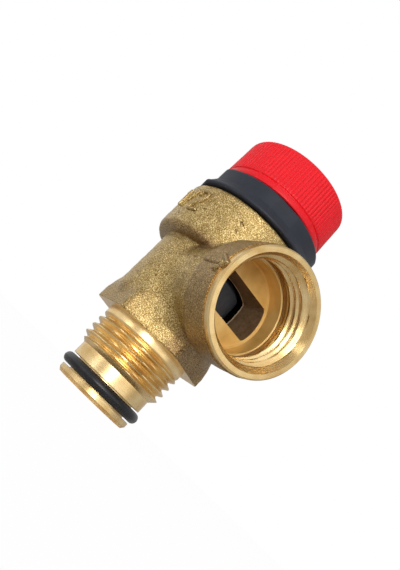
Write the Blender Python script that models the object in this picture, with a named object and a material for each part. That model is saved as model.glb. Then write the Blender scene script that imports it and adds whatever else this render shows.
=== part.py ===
"""Diaphragm pressure relief valve with a side outlet and a test knob.

Metres, +Z up along the stem, +X along the outlet. The origin is on the stem's axis,
on the shoulder that the inlet thread screws up to. From the bottom: a spigot with an
O-ring, the inlet thread, a hexagonal foot, the neck with the seat inside, the bell that
takes the bonnet, and the knob. Turning the knob runs it up the cams on the bonnet, and
the stem lifts the seat disc off the seat against the spring.
"""

import math

import bmesh
import bpy

MM = 0.001
CLEARANCE = 0.3 * MM          # between pieces that touch or run on each other
MERGE = 0.001 * MM            # points closer than this are one point
ROUND = 36                    # facets round a turned piece
FINE_ROUND = 48               # facets round the forging and the bonnet

# Pipe threads, G 1/2: outside and core radius.
THREAD_RADIUS = 10.48 * MM
THREAD_CORE_RADIUS = 9.32 * MM

# Inlet: spigot, O-ring and thread, downwards from the shoulder.
INLET_THREAD_LENGTH = 8.7 * MM
SPIGOT_LENGTH = 7.6 * MM
SPIGOT_RADIUS = 9.0 * MM
SPIGOT_CHAMFER = 0.6 * MM
SPIGOT_WALL = 3.0 * MM
O_RING_SECTION = 2.4 * MM
O_RING_FROM_TIP = 3.1 * MM
O_RING_PROUD = 1.0 * MM

# Forging: hexagonal foot, neck and bell.
HEX_ACROSS_FLATS = 24.6 * MM
HEX_CORNER_TRIM = 0.25 * MM
HEX_HEIGHT = 1.8 * MM
FOOT_BLEND_HEIGHT = 7.0 * MM
NECK_RADIUS = 12.9 * MM
CHAMBER_WALL = 2.6 * MM
BELL_RADIUS = 15.9 * MM
BELL_WALL = 2.3 * MM
BELL_FLOOR = 2.6 * MM
BELL_ROUNDING = 2.4 * MM
SOCKET_DEPTH = 9.1 * MM

# Outlet: boss, threaded socket and the window into the chamber.
OUTLET_HEIGHT = 15.0 * MM
OUTLET_REACH = 27.2 * MM
BOSS_RADIUS = 12.2 * MM
BOSS_LENGTH = 9.5 * MM
BOSS_ROUNDING = 1.2 * MM
TRUNK_STEP = 1.3 * MM
MOUTH_BAND = 1.6 * MM
MOUTH_STEP = 0.25 * MM
OUTLET_THREAD_LENGTH = 7.4 * MM
UNDERCUT_WIDTH = 1.5 * MM
UNDERCUT_DEPTH = 0.15 * MM
OUTLET_SOCKET_DEPTH = 13.2 * MM
WINDOW_WIDTH = 9.6 * MM
WINDOW_HEIGHT = 7.5 * MM
WINDOW_BULGE = 0.9 * MM
WINDOW_CORNER = 0.7 * MM

# Seat, seat disc and disc holder.
CHAMBER_FLOOR_DROP = 1.75 * MM
NOZZLE_HEIGHT = 3.0 * MM
NOZZLE_WALL = 1.4 * MM
SEAT_LIP = 0.4 * MM
HOLDER_SIDE_GAP = 1.7 * MM
HOLDER_RIM = 1.3 * MM
HOLDER_RIM_DROP = 1.4 * MM
HOLDER_WEB = 1.1 * MM
HOLDER_HUB = 3.7 * MM
SEAT_DISC_THICKNESS = 2.0 * MM
SEAT_DISC_OVERHANG = 0.6 * MM
DISC_WASHER_RADIUS = 3.6 * MM
DISC_WASHER_THICKNESS = 0.6 * MM

# Screws: one holds the seat disc, one holds the knob on the stem.
SCREW_RADIUS = 1.5 * MM
SCREW_HEAD_RADIUS = 2.8 * MM
SCREW_HEAD_HEIGHT = 1.3 * MM
SCREW_GRIP = 4.5 * MM
DRIVER_SLOT_WIDTH = 0.8 * MM
DRIVER_SLOT_DEPTH = 0.6 * MM

# Diaphragm, slip ring and lower spring plate.
DIAPHRAGM_THICKNESS = 1.2 * MM
DIAPHRAGM_RIM_THICKNESS = 1.5 * MM
DIAPHRAGM_DISH = 2.1 * MM
DIAPHRAGM_FOLD = 1.6 * MM
SLIP_RING_THICKNESS = 0.8 * MM
PLATE_THICKNESS = 1.2 * MM
SPRING_PILOT = 1.5 * MM

# Stem, spring and adjuster.
STEM_RADIUS = 2.5 * MM
STEM_COLLAR_RADIUS = 4.3 * MM
STEM_COLLAR_HEIGHT = 1.5 * MM
SPRING_WIRE = 1.7 * MM
SPRING_RADIUS = 6.2 * MM
SPRING_TURNS = 4.75
SPRING_STATIONS = 22
ADJUSTER_THICKNESS = 3.5 * MM
ADJUSTER_DEPTH = 1.5 * MM
KEY_SLOT_WIDTH = 2.0 * MM
KEY_SLOT_DEPTH = 1.4 * MM

# Bonnet: screwed sleeve, flange, collar with two spanner flats, and neck.
SLEEVE_WALL = 3.4 * MM
FLANGE_OVERHANG = 0.9 * MM
FLANGE_EDGE = 0.9 * MM
FLANGE_SLOPE = 1.7 * MM
COLLAR_RADIUS = 15.3 * MM
COLLAR_HEIGHT = 3.6 * MM
COLLAR_ROUNDING = 1.0 * MM
FLAT_DEPTH = 1.3 * MM
FLAT_TURN = 71.5              # degrees, from +X to the middle of one spanner flat
BONNET_NECK_HEIGHT = 4.9 * MM
BONNET_NECK_WALL = 2.3 * MM

# Cams between the bonnet and the knob.
CAM_COUNT = 4
CAM_LIFT = 1.6 * MM
CAM_RAMP_SHARE = 80 / 90      # of each cam's sector that climbs
CAM_DROP_SHARE = 2 / 90       # of each cam's sector that falls back
CAM_LAG_SHARE = 3.5 / 90      # how much later the knob's cam falls back
CAM_STATIONS = 8
CAM_INSET = 0.25 * MM
CAM_ROOT = 0.5 * MM

# Knob and its cap.
KNOB_RADIUS = 13.8 * MM
KNOB_DRAFT = 0.2 * MM
KNOB_WALL = 1.9 * MM
KNOB_RUNNING_GAP = 0.7 * MM
KNOB_UNDER_GAP = 0.7 * MM
KNOB_LIP_HEIGHT = 1.5 * MM
KNOB_EDGE_ROUNDING = 0.8 * MM
RIB_COUNT = 96
RIB_DEPTH = 0.22 * MM
WEB_THICKNESS = 1.5 * MM
HUB_THICKNESS = 1.7 * MM
HUB_WALL = 1.3 * MM
HUB_LIFT = 1.8 * MM
CAP_RADIUS = 11.3 * MM
CAP_THICKNESS = 1.2 * MM
CAP_LEDGE = 1.2 * MM
CAP_SINK = 0.2 * MM
WASHER_RADIUS = 5.0 * MM
WASHER_THICKNESS = 0.8 * MM

# Radii that follow.
INLET_BORE_RADIUS = SPIGOT_RADIUS - SPIGOT_WALL
CHAMBER_RADIUS = NECK_RADIUS - CHAMBER_WALL
HOLDER_RADIUS = CHAMBER_RADIUS - HOLDER_SIDE_GAP
SEAT_DISC_RADIUS = HOLDER_RADIUS - HOLDER_RIM - CLEARANCE
NOZZLE_RADIUS = SEAT_DISC_RADIUS - SEAT_DISC_OVERHANG
SEAT_BORE_RADIUS = NOZZLE_RADIUS - NOZZLE_WALL
SOCKET_RADIUS = BELL_RADIUS - BELL_WALL
SLEEVE_RADIUS = SOCKET_RADIUS - CLEARANCE
SLEEVE_BORE_RADIUS = SLEEVE_RADIUS - SLEEVE_WALL
SLIP_RING_BORE_RADIUS = SLEEVE_BORE_RADIUS + 2 * CLEARANCE
FOLD_END_RADIUS = CHAMBER_RADIUS - 2 * CLEARANCE
FOLD_START_RADIUS = FOLD_END_RADIUS - DIAPHRAGM_FOLD
PLATE_RADIUS = FOLD_START_RADIUS - CLEARANCE
FLANGE_RADIUS = BELL_RADIUS + FLANGE_OVERHANG
SKIRT_BORE_RADIUS = KNOB_RADIUS - KNOB_WALL
BONNET_NECK_RADIUS = SKIRT_BORE_RADIUS - KNOB_RUNNING_GAP
BONNET_BORE_RADIUS = BONNET_NECK_RADIUS - BONNET_NECK_WALL
ADJUSTER_RADIUS = BONNET_BORE_RADIUS - CLEARANCE
HUB_RADIUS = BONNET_BORE_RADIUS - 2 * CLEARANCE
PILOT_RADIUS = SPRING_RADIUS - SPRING_WIRE / 2 - CLEARANCE
STEM_HOLE_RADIUS = STEM_RADIUS + CLEARANCE
SCREW_HOLE_RADIUS = SCREW_RADIUS + CLEARANCE

# Heights that follow, from the bottom up.
THREAD_END_Z = -INLET_THREAD_LENGTH
SPIGOT_TIP_Z = THREAD_END_Z - SPIGOT_LENGTH
CHAMBER_FLOOR_Z = OUTLET_HEIGHT - WINDOW_HEIGHT / 2 - CHAMBER_FLOOR_DROP
SEAT_Z = CHAMBER_FLOOR_Z + NOZZLE_HEIGHT
SEAT_DISC_Z = SEAT_Z + CLEARANCE
HOLDER_CEILING_Z = SEAT_DISC_Z + SEAT_DISC_THICKNESS + CLEARANCE
STEM_FOOT_Z = HOLDER_CEILING_Z + HOLDER_WEB + CLEARANCE
HOLDER_TOP_Z = STEM_FOOT_Z - CLEARANCE + HOLDER_HUB
DIAPHRAGM_Z = HOLDER_TOP_Z + CLEARANCE
DIAPHRAGM_RIM_Z = DIAPHRAGM_Z + DIAPHRAGM_DISH
SHELF_Z = DIAPHRAGM_RIM_Z - CLEARANCE
BELL_RIM_Z = SHELF_Z + SOCKET_DEPTH
BELL_FOOT_Z = SHELF_Z - BELL_FLOOR
PLATE_Z = DIAPHRAGM_Z + DIAPHRAGM_THICKNESS + CLEARANCE
PILOT_TOP_Z = PLATE_Z + PLATE_THICKNESS + SPRING_PILOT
SLIP_RING_Z = DIAPHRAGM_RIM_Z + DIAPHRAGM_RIM_THICKNESS + CLEARANCE
SLEEVE_FOOT_Z = SLIP_RING_Z + SLIP_RING_THICKNESS + CLEARANCE
FLANGE_Z = BELL_RIM_Z + CLEARANCE
COLLAR_FOOT_Z = FLANGE_Z + FLANGE_EDGE + FLANGE_SLOPE
COLLAR_TOP_Z = COLLAR_FOOT_Z + COLLAR_HEIGHT
CAM_BASE_Z = COLLAR_TOP_Z + BONNET_NECK_HEIGHT
ADJUSTER_TOP_Z = CAM_BASE_Z - ADJUSTER_DEPTH
ADJUSTER_Z = ADJUSTER_TOP_Z - ADJUSTER_THICKNESS
WEB_Z = CAM_BASE_Z + CAM_LIFT + 2 * CLEARANCE
WEB_TOP_Z = WEB_Z + WEB_THICKNESS
HUB_Z = ADJUSTER_TOP_Z + HUB_LIFT
HUB_TOP_Z = HUB_Z + HUB_THICKNESS
WASHER_Z = HUB_TOP_Z + CLEARANCE
KNOB_SCREW_SEAT_Z = WASHER_Z + WASHER_THICKNESS + CLEARANCE
CAP_Z = KNOB_SCREW_SEAT_Z + SCREW_HEAD_HEIGHT + 2 * CLEARANCE
LEDGE_Z = CAP_Z - CLEARANCE
KNOB_TOP_Z = CAP_Z + CAP_THICKNESS + CAP_SINK
KNOB_Z = COLLAR_TOP_Z + KNOB_UNDER_GAP
DISC_WASHER_Z = SEAT_DISC_Z - CLEARANCE - DISC_WASHER_THICKNESS
DISC_SCREW_SEAT_Z = DISC_WASHER_Z - CLEARANCE


def finish(name, colour, roughness, metallic=0.0):
    """A plain Principled material."""
    material = bpy.data.materials.new(name)
    material.use_nodes = True
    shader = material.node_tree.nodes["Principled BSDF"]
    shader.inputs["Base Color"].default_value = (*colour, 1.0)
    shader.inputs["Roughness"].default_value = roughness
    shader.inputs["Metallic"].default_value = metallic
    return material


def place(name, mesh, material, location=(0.0, 0.0, 0.0), parent=None):
    """Turns a bmesh into a smooth-shaded object."""
    bmesh.ops.remove_doubles(mesh, verts=mesh.verts, dist=MERGE)
    bmesh.ops.recalc_face_normals(mesh, faces=mesh.faces)
    data = bpy.data.meshes.new(name)
    mesh.to_mesh(data)
    mesh.free()
    data.shade_smooth()
    data.set_sharp_from_angle(angle=math.radians(35))
    data.materials.append(material)
    piece = bpy.data.objects.new(name, data)
    piece.location = location
    bpy.context.scene.collection.objects.link(piece)
    if parent is not None:
        piece.parent = parent
    return piece


def guide(piece):
    """Marks a cutter or a form that is only used by a Boolean."""
    piece.hide_render = True
    piece.display_type = "WIRE"
    return piece


def boolean(piece, operation, tool):
    """Adds an exact Boolean with a guide object."""
    modifier = piece.modifiers.new(tool.name, "BOOLEAN")
    modifier.operation = operation
    modifier.object = guide(tool)
    modifier.solver = "EXACT"


def arc(centre, radius, start, end, steps):
    """Points of a circular arc in the (radius, height) plane, angles in degrees."""
    points = []
    for i in range(steps + 1):
        angle = math.radians(start + (end - start) * i / steps)
        points.append((centre[0] + radius * math.cos(angle), centre[1] + radius * math.sin(angle)))
    return points


def turned(name, outline, material, facets=ROUND, parent=None):
    """Solid of revolution about Z from a closed (radius, height) outline."""
    mesh = bmesh.new()
    points = [mesh.verts.new((radius, 0.0, height)) for radius, height in outline]
    edges = [
        mesh.edges.new((a, b))
        for a, b in zip(points, points[1:] + points[:1])
        if a.co.x > MERGE or b.co.x > MERGE
    ]
    bmesh.ops.spin(
        mesh, geom=points + edges, cent=(0, 0, 0), axis=(0, 0, 1),
        angle=2 * math.pi, steps=facets, use_merge=True,
    )
    return place(name, mesh, material, parent=parent)


def lofted(name, rings, material, closed=False, parent=None):
    """Solid through rings of points: capped at both ends, or closed on itself."""
    mesh = bmesh.new()
    loops = [[mesh.verts.new(point) for point in ring] for ring in rings]
    pairs = list(zip(loops, loops[1:]))
    if closed:
        pairs.append((loops[-1], loops[0]))
    else:
        mesh.faces.new(loops[0])
        mesh.faces.new(loops[-1])
    for lower, upper in pairs:
        for i, corner in enumerate(lower):
            j = (i + 1) % len(lower)
            mesh.faces.new((corner, lower[j], upper[j], upper[i]))
    return place(name, mesh, material, parent=parent)


def block(name, size, location, material):
    """A plain box, for cutting slots."""
    mesh = bmesh.new()
    bmesh.ops.create_cube(mesh, size=1.0)
    bmesh.ops.scale(mesh, verts=mesh.verts, vec=size)
    return place(name, mesh, material, location)


def circle(radius, height, facets):
    """A horizontal ring of points."""
    step = 2 * math.pi / facets
    return [(radius * math.cos(i * step), radius * math.sin(i * step), height) for i in range(facets)]


def foot_ring(height, hex_share):
    """Horizontal section of the forging's foot, between a hexagon and the round neck."""
    apothem = HEX_ACROSS_FLATS / 2
    corner = apothem / math.cos(math.radians(30)) - HEX_CORNER_TRIM
    ring = []
    for i in range(FINE_ROUND):
        angle = 2 * math.pi * i / FINE_ROUND
        from_flat = math.fmod(angle, math.radians(60)) - math.radians(30)
        hexagon = min(apothem / math.cos(from_flat), corner)
        radius = hex_share * hexagon + (1 - hex_share) * NECK_RADIUS
        ring.append((radius * math.cos(angle), radius * math.sin(angle), height))
    return ring


def inlet_rings():
    """Spigot tip, O-ring groove and thread, up to the shoulder."""
    groove_z = SPIGOT_TIP_Z + O_RING_FROM_TIP
    half = O_RING_SECTION / 2 + CLEARANCE
    floor = o_ring_radius() - O_RING_SECTION / 2 - CLEARANCE
    lead = THREAD_RADIUS - THREAD_CORE_RADIUS
    profile = [
        (SPIGOT_RADIUS - SPIGOT_CHAMFER, SPIGOT_TIP_Z),
        (SPIGOT_RADIUS, SPIGOT_TIP_Z + SPIGOT_CHAMFER),
        (SPIGOT_RADIUS, groove_z - half),
        (floor, groove_z - half),
        (floor, groove_z + half),
        (SPIGOT_RADIUS, groove_z + half),
        (SPIGOT_RADIUS, THREAD_END_Z),
        (THREAD_CORE_RADIUS, THREAD_END_Z),
        (THREAD_RADIUS, THREAD_END_Z + lead),
        (THREAD_RADIUS, 0.0),
    ]
    return [circle(radius, height, FINE_ROUND) for radius, height in profile]


def foot_rings():
    """Hexagonal foot that turns round as it rises into the neck."""
    rings = [foot_ring(0.0, 1.0)]
    steps = 6
    for i in range(steps + 1):
        share = i / steps
        rings.append(foot_ring(HEX_HEIGHT + share * FOOT_BLEND_HEIGHT, 1 - share * share * (3 - 2 * share)))
    return rings


def bell_rings():
    """Neck, rounded shoulder and wall of the bell."""
    inner = BELL_RADIUS - BELL_ROUNDING
    profile = [(NECK_RADIUS, BELL_FOOT_Z)]
    profile += arc((inner, BELL_FOOT_Z + BELL_ROUNDING * 1.2), BELL_ROUNDING, -80, 0, 5)
    profile += [(BELL_RADIUS - 0.2 * MM, BELL_RIM_Z - 0.2 * MM), (BELL_RADIUS - 0.4 * MM, BELL_RIM_Z)]
    return [circle(radius, height, FINE_ROUND) for radius, height in profile]


def boss_form(material):
    """Boss and trunk of the outlet, turned about the outlet's axis."""
    back = OUTLET_REACH - BOSS_LENGTH
    trunk = BOSS_RADIUS - TRUNK_STEP
    band = BOSS_RADIUS - MOUTH_STEP
    outline = [(0.0, NECK_RADIUS / 4), (trunk, NECK_RADIUS / 4), (trunk, back)]
    outline += arc((BOSS_RADIUS - BOSS_ROUNDING, back + BOSS_ROUNDING), BOSS_ROUNDING, -60, 0, 3)
    outline += [
        (BOSS_RADIUS, OUTLET_REACH - MOUTH_BAND),
        (band, OUTLET_REACH - MOUTH_BAND),
        (band, OUTLET_REACH - MOUTH_STEP),
        (band - MOUTH_STEP, OUTLET_REACH),
        (0.0, OUTLET_REACH),
    ]
    return along_outlet(turned("boss_form", outline, material))


def along_outlet(piece):
    """Lays a piece turned about Z along the outlet's axis."""
    piece.location = (0.0, 0.0, OUTLET_HEIGHT)
    piece.rotation_euler = (0.0, math.radians(90), 0.0)
    return piece


def passage_cutter(material):
    """Everything turned out of the forging along the stem's axis."""
    beyond = 1.0 * MM
    taper = INLET_BORE_RADIUS - SEAT_BORE_RADIUS
    outline = [
        (0.0, SPIGOT_TIP_Z - beyond),
        (INLET_BORE_RADIUS + SPIGOT_CHAMFER, SPIGOT_TIP_Z - beyond),
        (INLET_BORE_RADIUS + SPIGOT_CHAMFER, SPIGOT_TIP_Z),
        (INLET_BORE_RADIUS, SPIGOT_TIP_Z + SPIGOT_CHAMFER),
        (INLET_BORE_RADIUS, CHAMBER_FLOOR_Z - CHAMBER_WALL - taper),
        (SEAT_BORE_RADIUS, CHAMBER_FLOOR_Z - CHAMBER_WALL),
        (SEAT_BORE_RADIUS, SEAT_Z - SEAT_LIP),
        (SEAT_BORE_RADIUS + SEAT_LIP, SEAT_Z),
        (NOZZLE_RADIUS - SEAT_LIP, SEAT_Z),
        (NOZZLE_RADIUS, SEAT_Z - SEAT_LIP),
        (NOZZLE_RADIUS, CHAMBER_FLOOR_Z),
        (CHAMBER_RADIUS, CHAMBER_FLOOR_Z),
        (CHAMBER_RADIUS, SHELF_Z),
        (SOCKET_RADIUS, SHELF_Z),
        (SOCKET_RADIUS, BELL_RIM_Z + beyond),
        (0.0, BELL_RIM_Z + beyond),
    ]
    return turned("passage_cutter", outline, material)


def socket_cutter(material):
    """Outlet socket: flat bottom, smooth bore, undercut, thread bore and mouth chamfer."""
    beyond = 1.0 * MM
    thread_start = OUTLET_REACH - OUTLET_THREAD_LENGTH
    lead = THREAD_RADIUS - THREAD_CORE_RADIUS
    undercut = THREAD_RADIUS + UNDERCUT_DEPTH
    outline = [
        (0.0, OUTLET_REACH - OUTLET_SOCKET_DEPTH),
        (THREAD_CORE_RADIUS, OUTLET_REACH - OUTLET_SOCKET_DEPTH),
        (THREAD_CORE_RADIUS, thread_start - UNDERCUT_WIDTH),
        (undercut, thread_start - UNDERCUT_WIDTH),
        (undercut, thread_start),
        (THREAD_CORE_RADIUS, thread_start + lead),
        (THREAD_CORE_RADIUS, OUTLET_REACH - lead),
        (THREAD_RADIUS + beyond, OUTLET_REACH + beyond),
        (0.0, OUTLET_REACH + beyond),
    ]
    return along_outlet(turned("socket_cutter", outline, material))


def window_section():
    """Outline of the window, seen along the outlet: flat top and bottom, bowed sides."""
    half_height = WINDOW_HEIGHT / 2
    side = WINDOW_WIDTH / 2 - WINDOW_BULGE
    steps = 6
    outline = []
    for sign in (1, -1):
        for i in range(steps + 1):
            share = 2 * i / steps - 1
            across = side + WINDOW_BULGE * (1 - share * share)
            along = sign * share * half_height
            corner = WINDOW_CORNER if i in (0, steps) else 0.0
            outline.append((sign * (across - corner), along))
    return outline


def window_cutter(material):
    """Prism that opens the chamber into the outlet socket."""
    start = (NOZZLE_RADIUS + CHAMBER_RADIUS) / 2
    end = OUTLET_REACH - OUTLET_SOCKET_DEPTH + MM
    rings = [[(x, y, OUTLET_HEIGHT + z) for y, z in window_section()] for x in (start, end)]
    return lofted("window_cutter", rings, material)


def valve_body(materials):
    """Brass forging with its turned inlet, seat, bonnet socket and outlet."""
    brass = materials["brass"]
    body = lofted("valve_body", inlet_rings() + foot_rings() + bell_rings(), brass)
    boolean(body, "UNION", boss_form(brass))
    boolean(body, "DIFFERENCE", passage_cutter(brass))
    boolean(body, "DIFFERENCE", socket_cutter(brass))
    boolean(body, "DIFFERENCE", window_cutter(brass))
    return body


def o_ring_radius():
    """Radius of the O-ring's centre line."""
    return SPIGOT_RADIUS + O_RING_PROUD - O_RING_SECTION / 2


def inlet_o_ring(materials):
    """Rubber ring that seals the spigot in the manifold."""
    centre = (o_ring_radius(), SPIGOT_TIP_Z + O_RING_FROM_TIP)
    outline = arc(centre, O_RING_SECTION / 2, 0, 360, 10)[:-1]
    return turned("inlet_o_ring", outline, materials["rubber"])


def seat_disc(materials, parent):
    """Rubber disc that closes the seat."""
    top = SEAT_DISC_Z + SEAT_DISC_THICKNESS
    outline = [
        (SCREW_HOLE_RADIUS, SEAT_DISC_Z), (SEAT_DISC_RADIUS, SEAT_DISC_Z),
        (SEAT_DISC_RADIUS, top), (SCREW_HOLE_RADIUS, top),
    ]
    return turned("seat_disc", outline, materials["rubber"], parent=parent)


def disc_holder(materials, parent):
    """Moulded cup that holds the seat disc and takes the stem's foot."""
    rim_z = SEAT_DISC_Z + SEAT_DISC_THICKNESS - HOLDER_RIM_DROP
    pocket = SEAT_DISC_RADIUS + CLEARANCE
    web_top = HOLDER_CEILING_Z + HOLDER_WEB
    shoulder = HOLDER_RIM * 0.8
    outline = [
        (pocket, rim_z), (HOLDER_RADIUS - 0.2 * MM, rim_z), (HOLDER_RADIUS, rim_z + 0.2 * MM),
        (HOLDER_RADIUS, HOLDER_TOP_Z - shoulder), (HOLDER_RADIUS - shoulder, HOLDER_TOP_Z),
        (STEM_HOLE_RADIUS, HOLDER_TOP_Z), (STEM_HOLE_RADIUS, web_top),
        (SCREW_HOLE_RADIUS, web_top), (SCREW_HOLE_RADIUS, HOLDER_CEILING_Z),
        (pocket, HOLDER_CEILING_Z),
    ]
    return turned("disc_holder", outline, materials["black"], parent=parent)


def washer(name, bore, radius, z, thickness, material, parent):
    """A flat round washer."""
    outline = [(bore, z), (radius, z), (radius, z + thickness), (bore, z + thickness)]
    return turned(name, outline, material, facets=32, parent=parent)


def screw(name, seat_z, upwards, length, materials, parent):
    """Slotted screw whose head rests on seat_z and whose shank points up or down."""
    head = seat_z - upwards * SCREW_HEAD_HEIGHT
    crown = seat_z - upwards * SCREW_HEAD_HEIGHT * 0.6
    tip = seat_z + upwards * length
    outline = [
        (0.0, head), (SCREW_HEAD_RADIUS * 0.8, head), (SCREW_HEAD_RADIUS, crown),
        (SCREW_HEAD_RADIUS, seat_z), (SCREW_RADIUS, seat_z),
        (SCREW_RADIUS, tip - upwards * SCREW_RADIUS / 3), (SCREW_RADIUS * 2 / 3, tip), (0.0, tip),
    ]
    piece = turned(name, outline, materials["steel"], facets=24, parent=parent)
    size = (4 * SCREW_HEAD_RADIUS, DRIVER_SLOT_WIDTH, 2 * DRIVER_SLOT_DEPTH)
    boolean(piece, "DIFFERENCE", block(name + "_slot", size, (0.0, 0.0, head), materials["steel"]))
    return piece


def diaphragm(materials):
    """Rubber diaphragm: rim on the shelf, fold, and a centre that hangs lower."""
    rim_top = DIAPHRAGM_RIM_Z + DIAPHRAGM_RIM_THICKNESS
    centre_top = DIAPHRAGM_Z + DIAPHRAGM_THICKNESS
    outline = [
        (STEM_HOLE_RADIUS, DIAPHRAGM_Z), (FOLD_START_RADIUS, DIAPHRAGM_Z),
        (FOLD_END_RADIUS, DIAPHRAGM_RIM_Z - 0.2 * MM), (FOLD_END_RADIUS + CLEARANCE, DIAPHRAGM_RIM_Z),
        (SLEEVE_RADIUS, DIAPHRAGM_RIM_Z), (SLEEVE_RADIUS, rim_top),
        (FOLD_END_RADIUS, rim_top), (FOLD_START_RADIUS, centre_top), (STEM_HOLE_RADIUS, centre_top),
    ]
    return turned("diaphragm", outline, materials["rubber"])


def slip_ring(materials):
    """Thin ring that lets the bonnet turn on the diaphragm without dragging it."""
    top = SLIP_RING_Z + SLIP_RING_THICKNESS
    outline = [
        (SLIP_RING_BORE_RADIUS, SLIP_RING_Z), (SLEEVE_RADIUS, SLIP_RING_Z),
        (SLEEVE_RADIUS, top), (SLIP_RING_BORE_RADIUS, top),
    ]
    return turned("slip_ring", outline, materials["steel"])


def lower_spring_plate(materials, parent):
    """Plate that backs the diaphragm and centres the foot of the spring."""
    top = PLATE_Z + PLATE_THICKNESS
    edge = 0.3 * MM
    outline = [
        (STEM_HOLE_RADIUS, PLATE_Z), (PLATE_RADIUS - edge, PLATE_Z), (PLATE_RADIUS, PLATE_Z + edge),
        (PLATE_RADIUS, top), (PILOT_RADIUS, top),
        (PILOT_RADIUS - edge, PILOT_TOP_Z), (STEM_HOLE_RADIUS, PILOT_TOP_Z),
    ]
    return turned("lower_spring_plate", outline, materials["steel"], parent=parent)


def stem(materials, parent):
    """Brass stem with a collar above the spring plate and a tapped hole at each end."""
    collar_z = PILOT_TOP_Z + CLEARANCE
    collar_top = collar_z + STEM_COLLAR_HEIGHT
    hole_depth = SCREW_GRIP + 2 * CLEARANCE
    edge = 0.3 * MM
    outline = [
        (SCREW_HOLE_RADIUS, STEM_FOOT_Z), (STEM_RADIUS, STEM_FOOT_Z), (STEM_RADIUS, collar_z),
        (STEM_COLLAR_RADIUS, collar_z), (STEM_COLLAR_RADIUS, collar_top - edge),
        (STEM_COLLAR_RADIUS - edge, collar_top), (STEM_RADIUS, collar_top),
        (STEM_RADIUS, HUB_TOP_Z), (SCREW_HOLE_RADIUS, HUB_TOP_Z),
        (SCREW_HOLE_RADIUS, HUB_TOP_Z - hole_depth), (0.0, HUB_TOP_Z - hole_depth - SCREW_RADIUS / 2),
        (0.0, STEM_FOOT_Z + hole_depth + SCREW_RADIUS / 2), (SCREW_HOLE_RADIUS, STEM_FOOT_Z + hole_depth),
    ]
    return turned("stem", outline, materials["stem"], facets=32, parent=parent)


def spring(materials):
    """Compression spring, swept along a helix between the plate and the adjuster."""
    low = PLATE_Z + PLATE_THICKNESS + CLEARANCE + SPRING_WIRE / 2
    high = ADJUSTER_Z - CLEARANCE - SPRING_WIRE / 2
    stations = int(SPRING_TURNS * SPRING_STATIONS)
    rings = []
    for i in range(stations + 1):
        share = i / stations
        turn = 2 * math.pi * SPRING_TURNS * share
        height = low + (high - low) * share
        ring = []
        for radius, z in arc((SPRING_RADIUS, height), SPRING_WIRE / 2, 0, 360, 8)[:-1]:
            ring.append((radius * math.cos(turn), radius * math.sin(turn), z))
        rings.append(ring)
    return lofted("spring", rings, materials["steel"])


def spring_adjuster(materials):
    """Threaded disc in the bonnet that sets the spring's load, with slots for its key."""
    edge = 0.4 * MM
    pilot_z = ADJUSTER_Z - SPRING_PILOT
    outline = [
        (STEM_HOLE_RADIUS, pilot_z), (PILOT_RADIUS - edge, pilot_z), (PILOT_RADIUS, ADJUSTER_Z),
        (ADJUSTER_RADIUS - edge, ADJUSTER_Z), (ADJUSTER_RADIUS, ADJUSTER_Z + edge),
        (ADJUSTER_RADIUS, ADJUSTER_TOP_Z - edge), (ADJUSTER_RADIUS - edge, ADJUSTER_TOP_Z),
        (STEM_HOLE_RADIUS, ADJUSTER_TOP_Z),
    ]
    piece = turned("spring_adjuster", outline, materials["stem"])
    size = (4 * ADJUSTER_RADIUS, KEY_SLOT_WIDTH, 2 * KEY_SLOT_DEPTH)
    slot = block("key_slot", size, (0.0, 0.0, ADJUSTER_TOP_Z), materials["stem"])
    boolean(piece, "DIFFERENCE", slot)
    return piece


def cam_stations(lag):
    """Angle and height of the cam surface once round, the height from the cams' base."""
    sector = 360 / CAM_COUNT
    ramp_end = sector * (CAM_RAMP_SHARE + lag)
    slope = CAM_LIFT / (sector * CAM_RAMP_SHARE)
    stations = []
    for tooth in range(CAM_COUNT):
        start = tooth * sector
        for i in range(CAM_STATIONS + 1):
            angle = ramp_end * i / CAM_STATIONS
            stations.append((start + angle, slope * angle))
        stations.append((start + ramp_end + sector * CAM_DROP_SHARE, 0.0))
    return stations


def cam_ring(name, lag, lift, root_z, material):
    """Ring of saw-tooth cams between the cam surface, raised by lift, and root_z."""
    inner = BONNET_BORE_RADIUS + CAM_INSET
    outer = BONNET_NECK_RADIUS - CAM_INSET
    rings = []
    for angle, height in cam_stations(lag):
        along = math.cos(math.radians(angle))
        across = math.sin(math.radians(angle))
        surface = CAM_BASE_Z + lift + height
        corners = ((inner, surface), (outer, surface), (outer, root_z), (inner, root_z))
        rings.append([(radius * along, radius * across, z) for radius, z in corners])
    return lofted(name, rings, material, closed=True)


def bonnet_section(angle):
    """Outline of the bonnet at an angle in degrees; the two spanner flats cut it back."""
    from_flat = math.radians(math.fmod(angle - FLAT_TURN + 90, 180) - 90)

    def flatted(radius):
        return min(radius, (radius - FLAT_DEPTH) / max(math.cos(from_flat), 0.5))

    edge = FLANGE_EDGE / 2
    step = SLEEVE_BORE_RADIUS - BONNET_BORE_RADIUS
    outline = [(SLEEVE_BORE_RADIUS, SLEEVE_FOOT_Z), (SLEEVE_RADIUS, SLEEVE_FOOT_Z), (SLEEVE_RADIUS, FLANGE_Z)]
    outline += arc((flatted(FLANGE_RADIUS) - edge, FLANGE_Z + edge), edge, -90, 60, 5)
    outline.append((flatted(COLLAR_RADIUS), COLLAR_FOOT_Z))
    corner = (flatted(COLLAR_RADIUS) - COLLAR_ROUNDING, COLLAR_TOP_Z - COLLAR_ROUNDING)
    outline += arc(corner, COLLAR_ROUNDING, 0, 90, 3)
    outline += [
        (BONNET_NECK_RADIUS, COLLAR_TOP_Z),
        (BONNET_NECK_RADIUS, CAM_BASE_Z),
        (BONNET_BORE_RADIUS, CAM_BASE_Z),
        (BONNET_BORE_RADIUS, FLANGE_Z + step),
        (SLEEVE_BORE_RADIUS, FLANGE_Z),
    ]
    return outline


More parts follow.
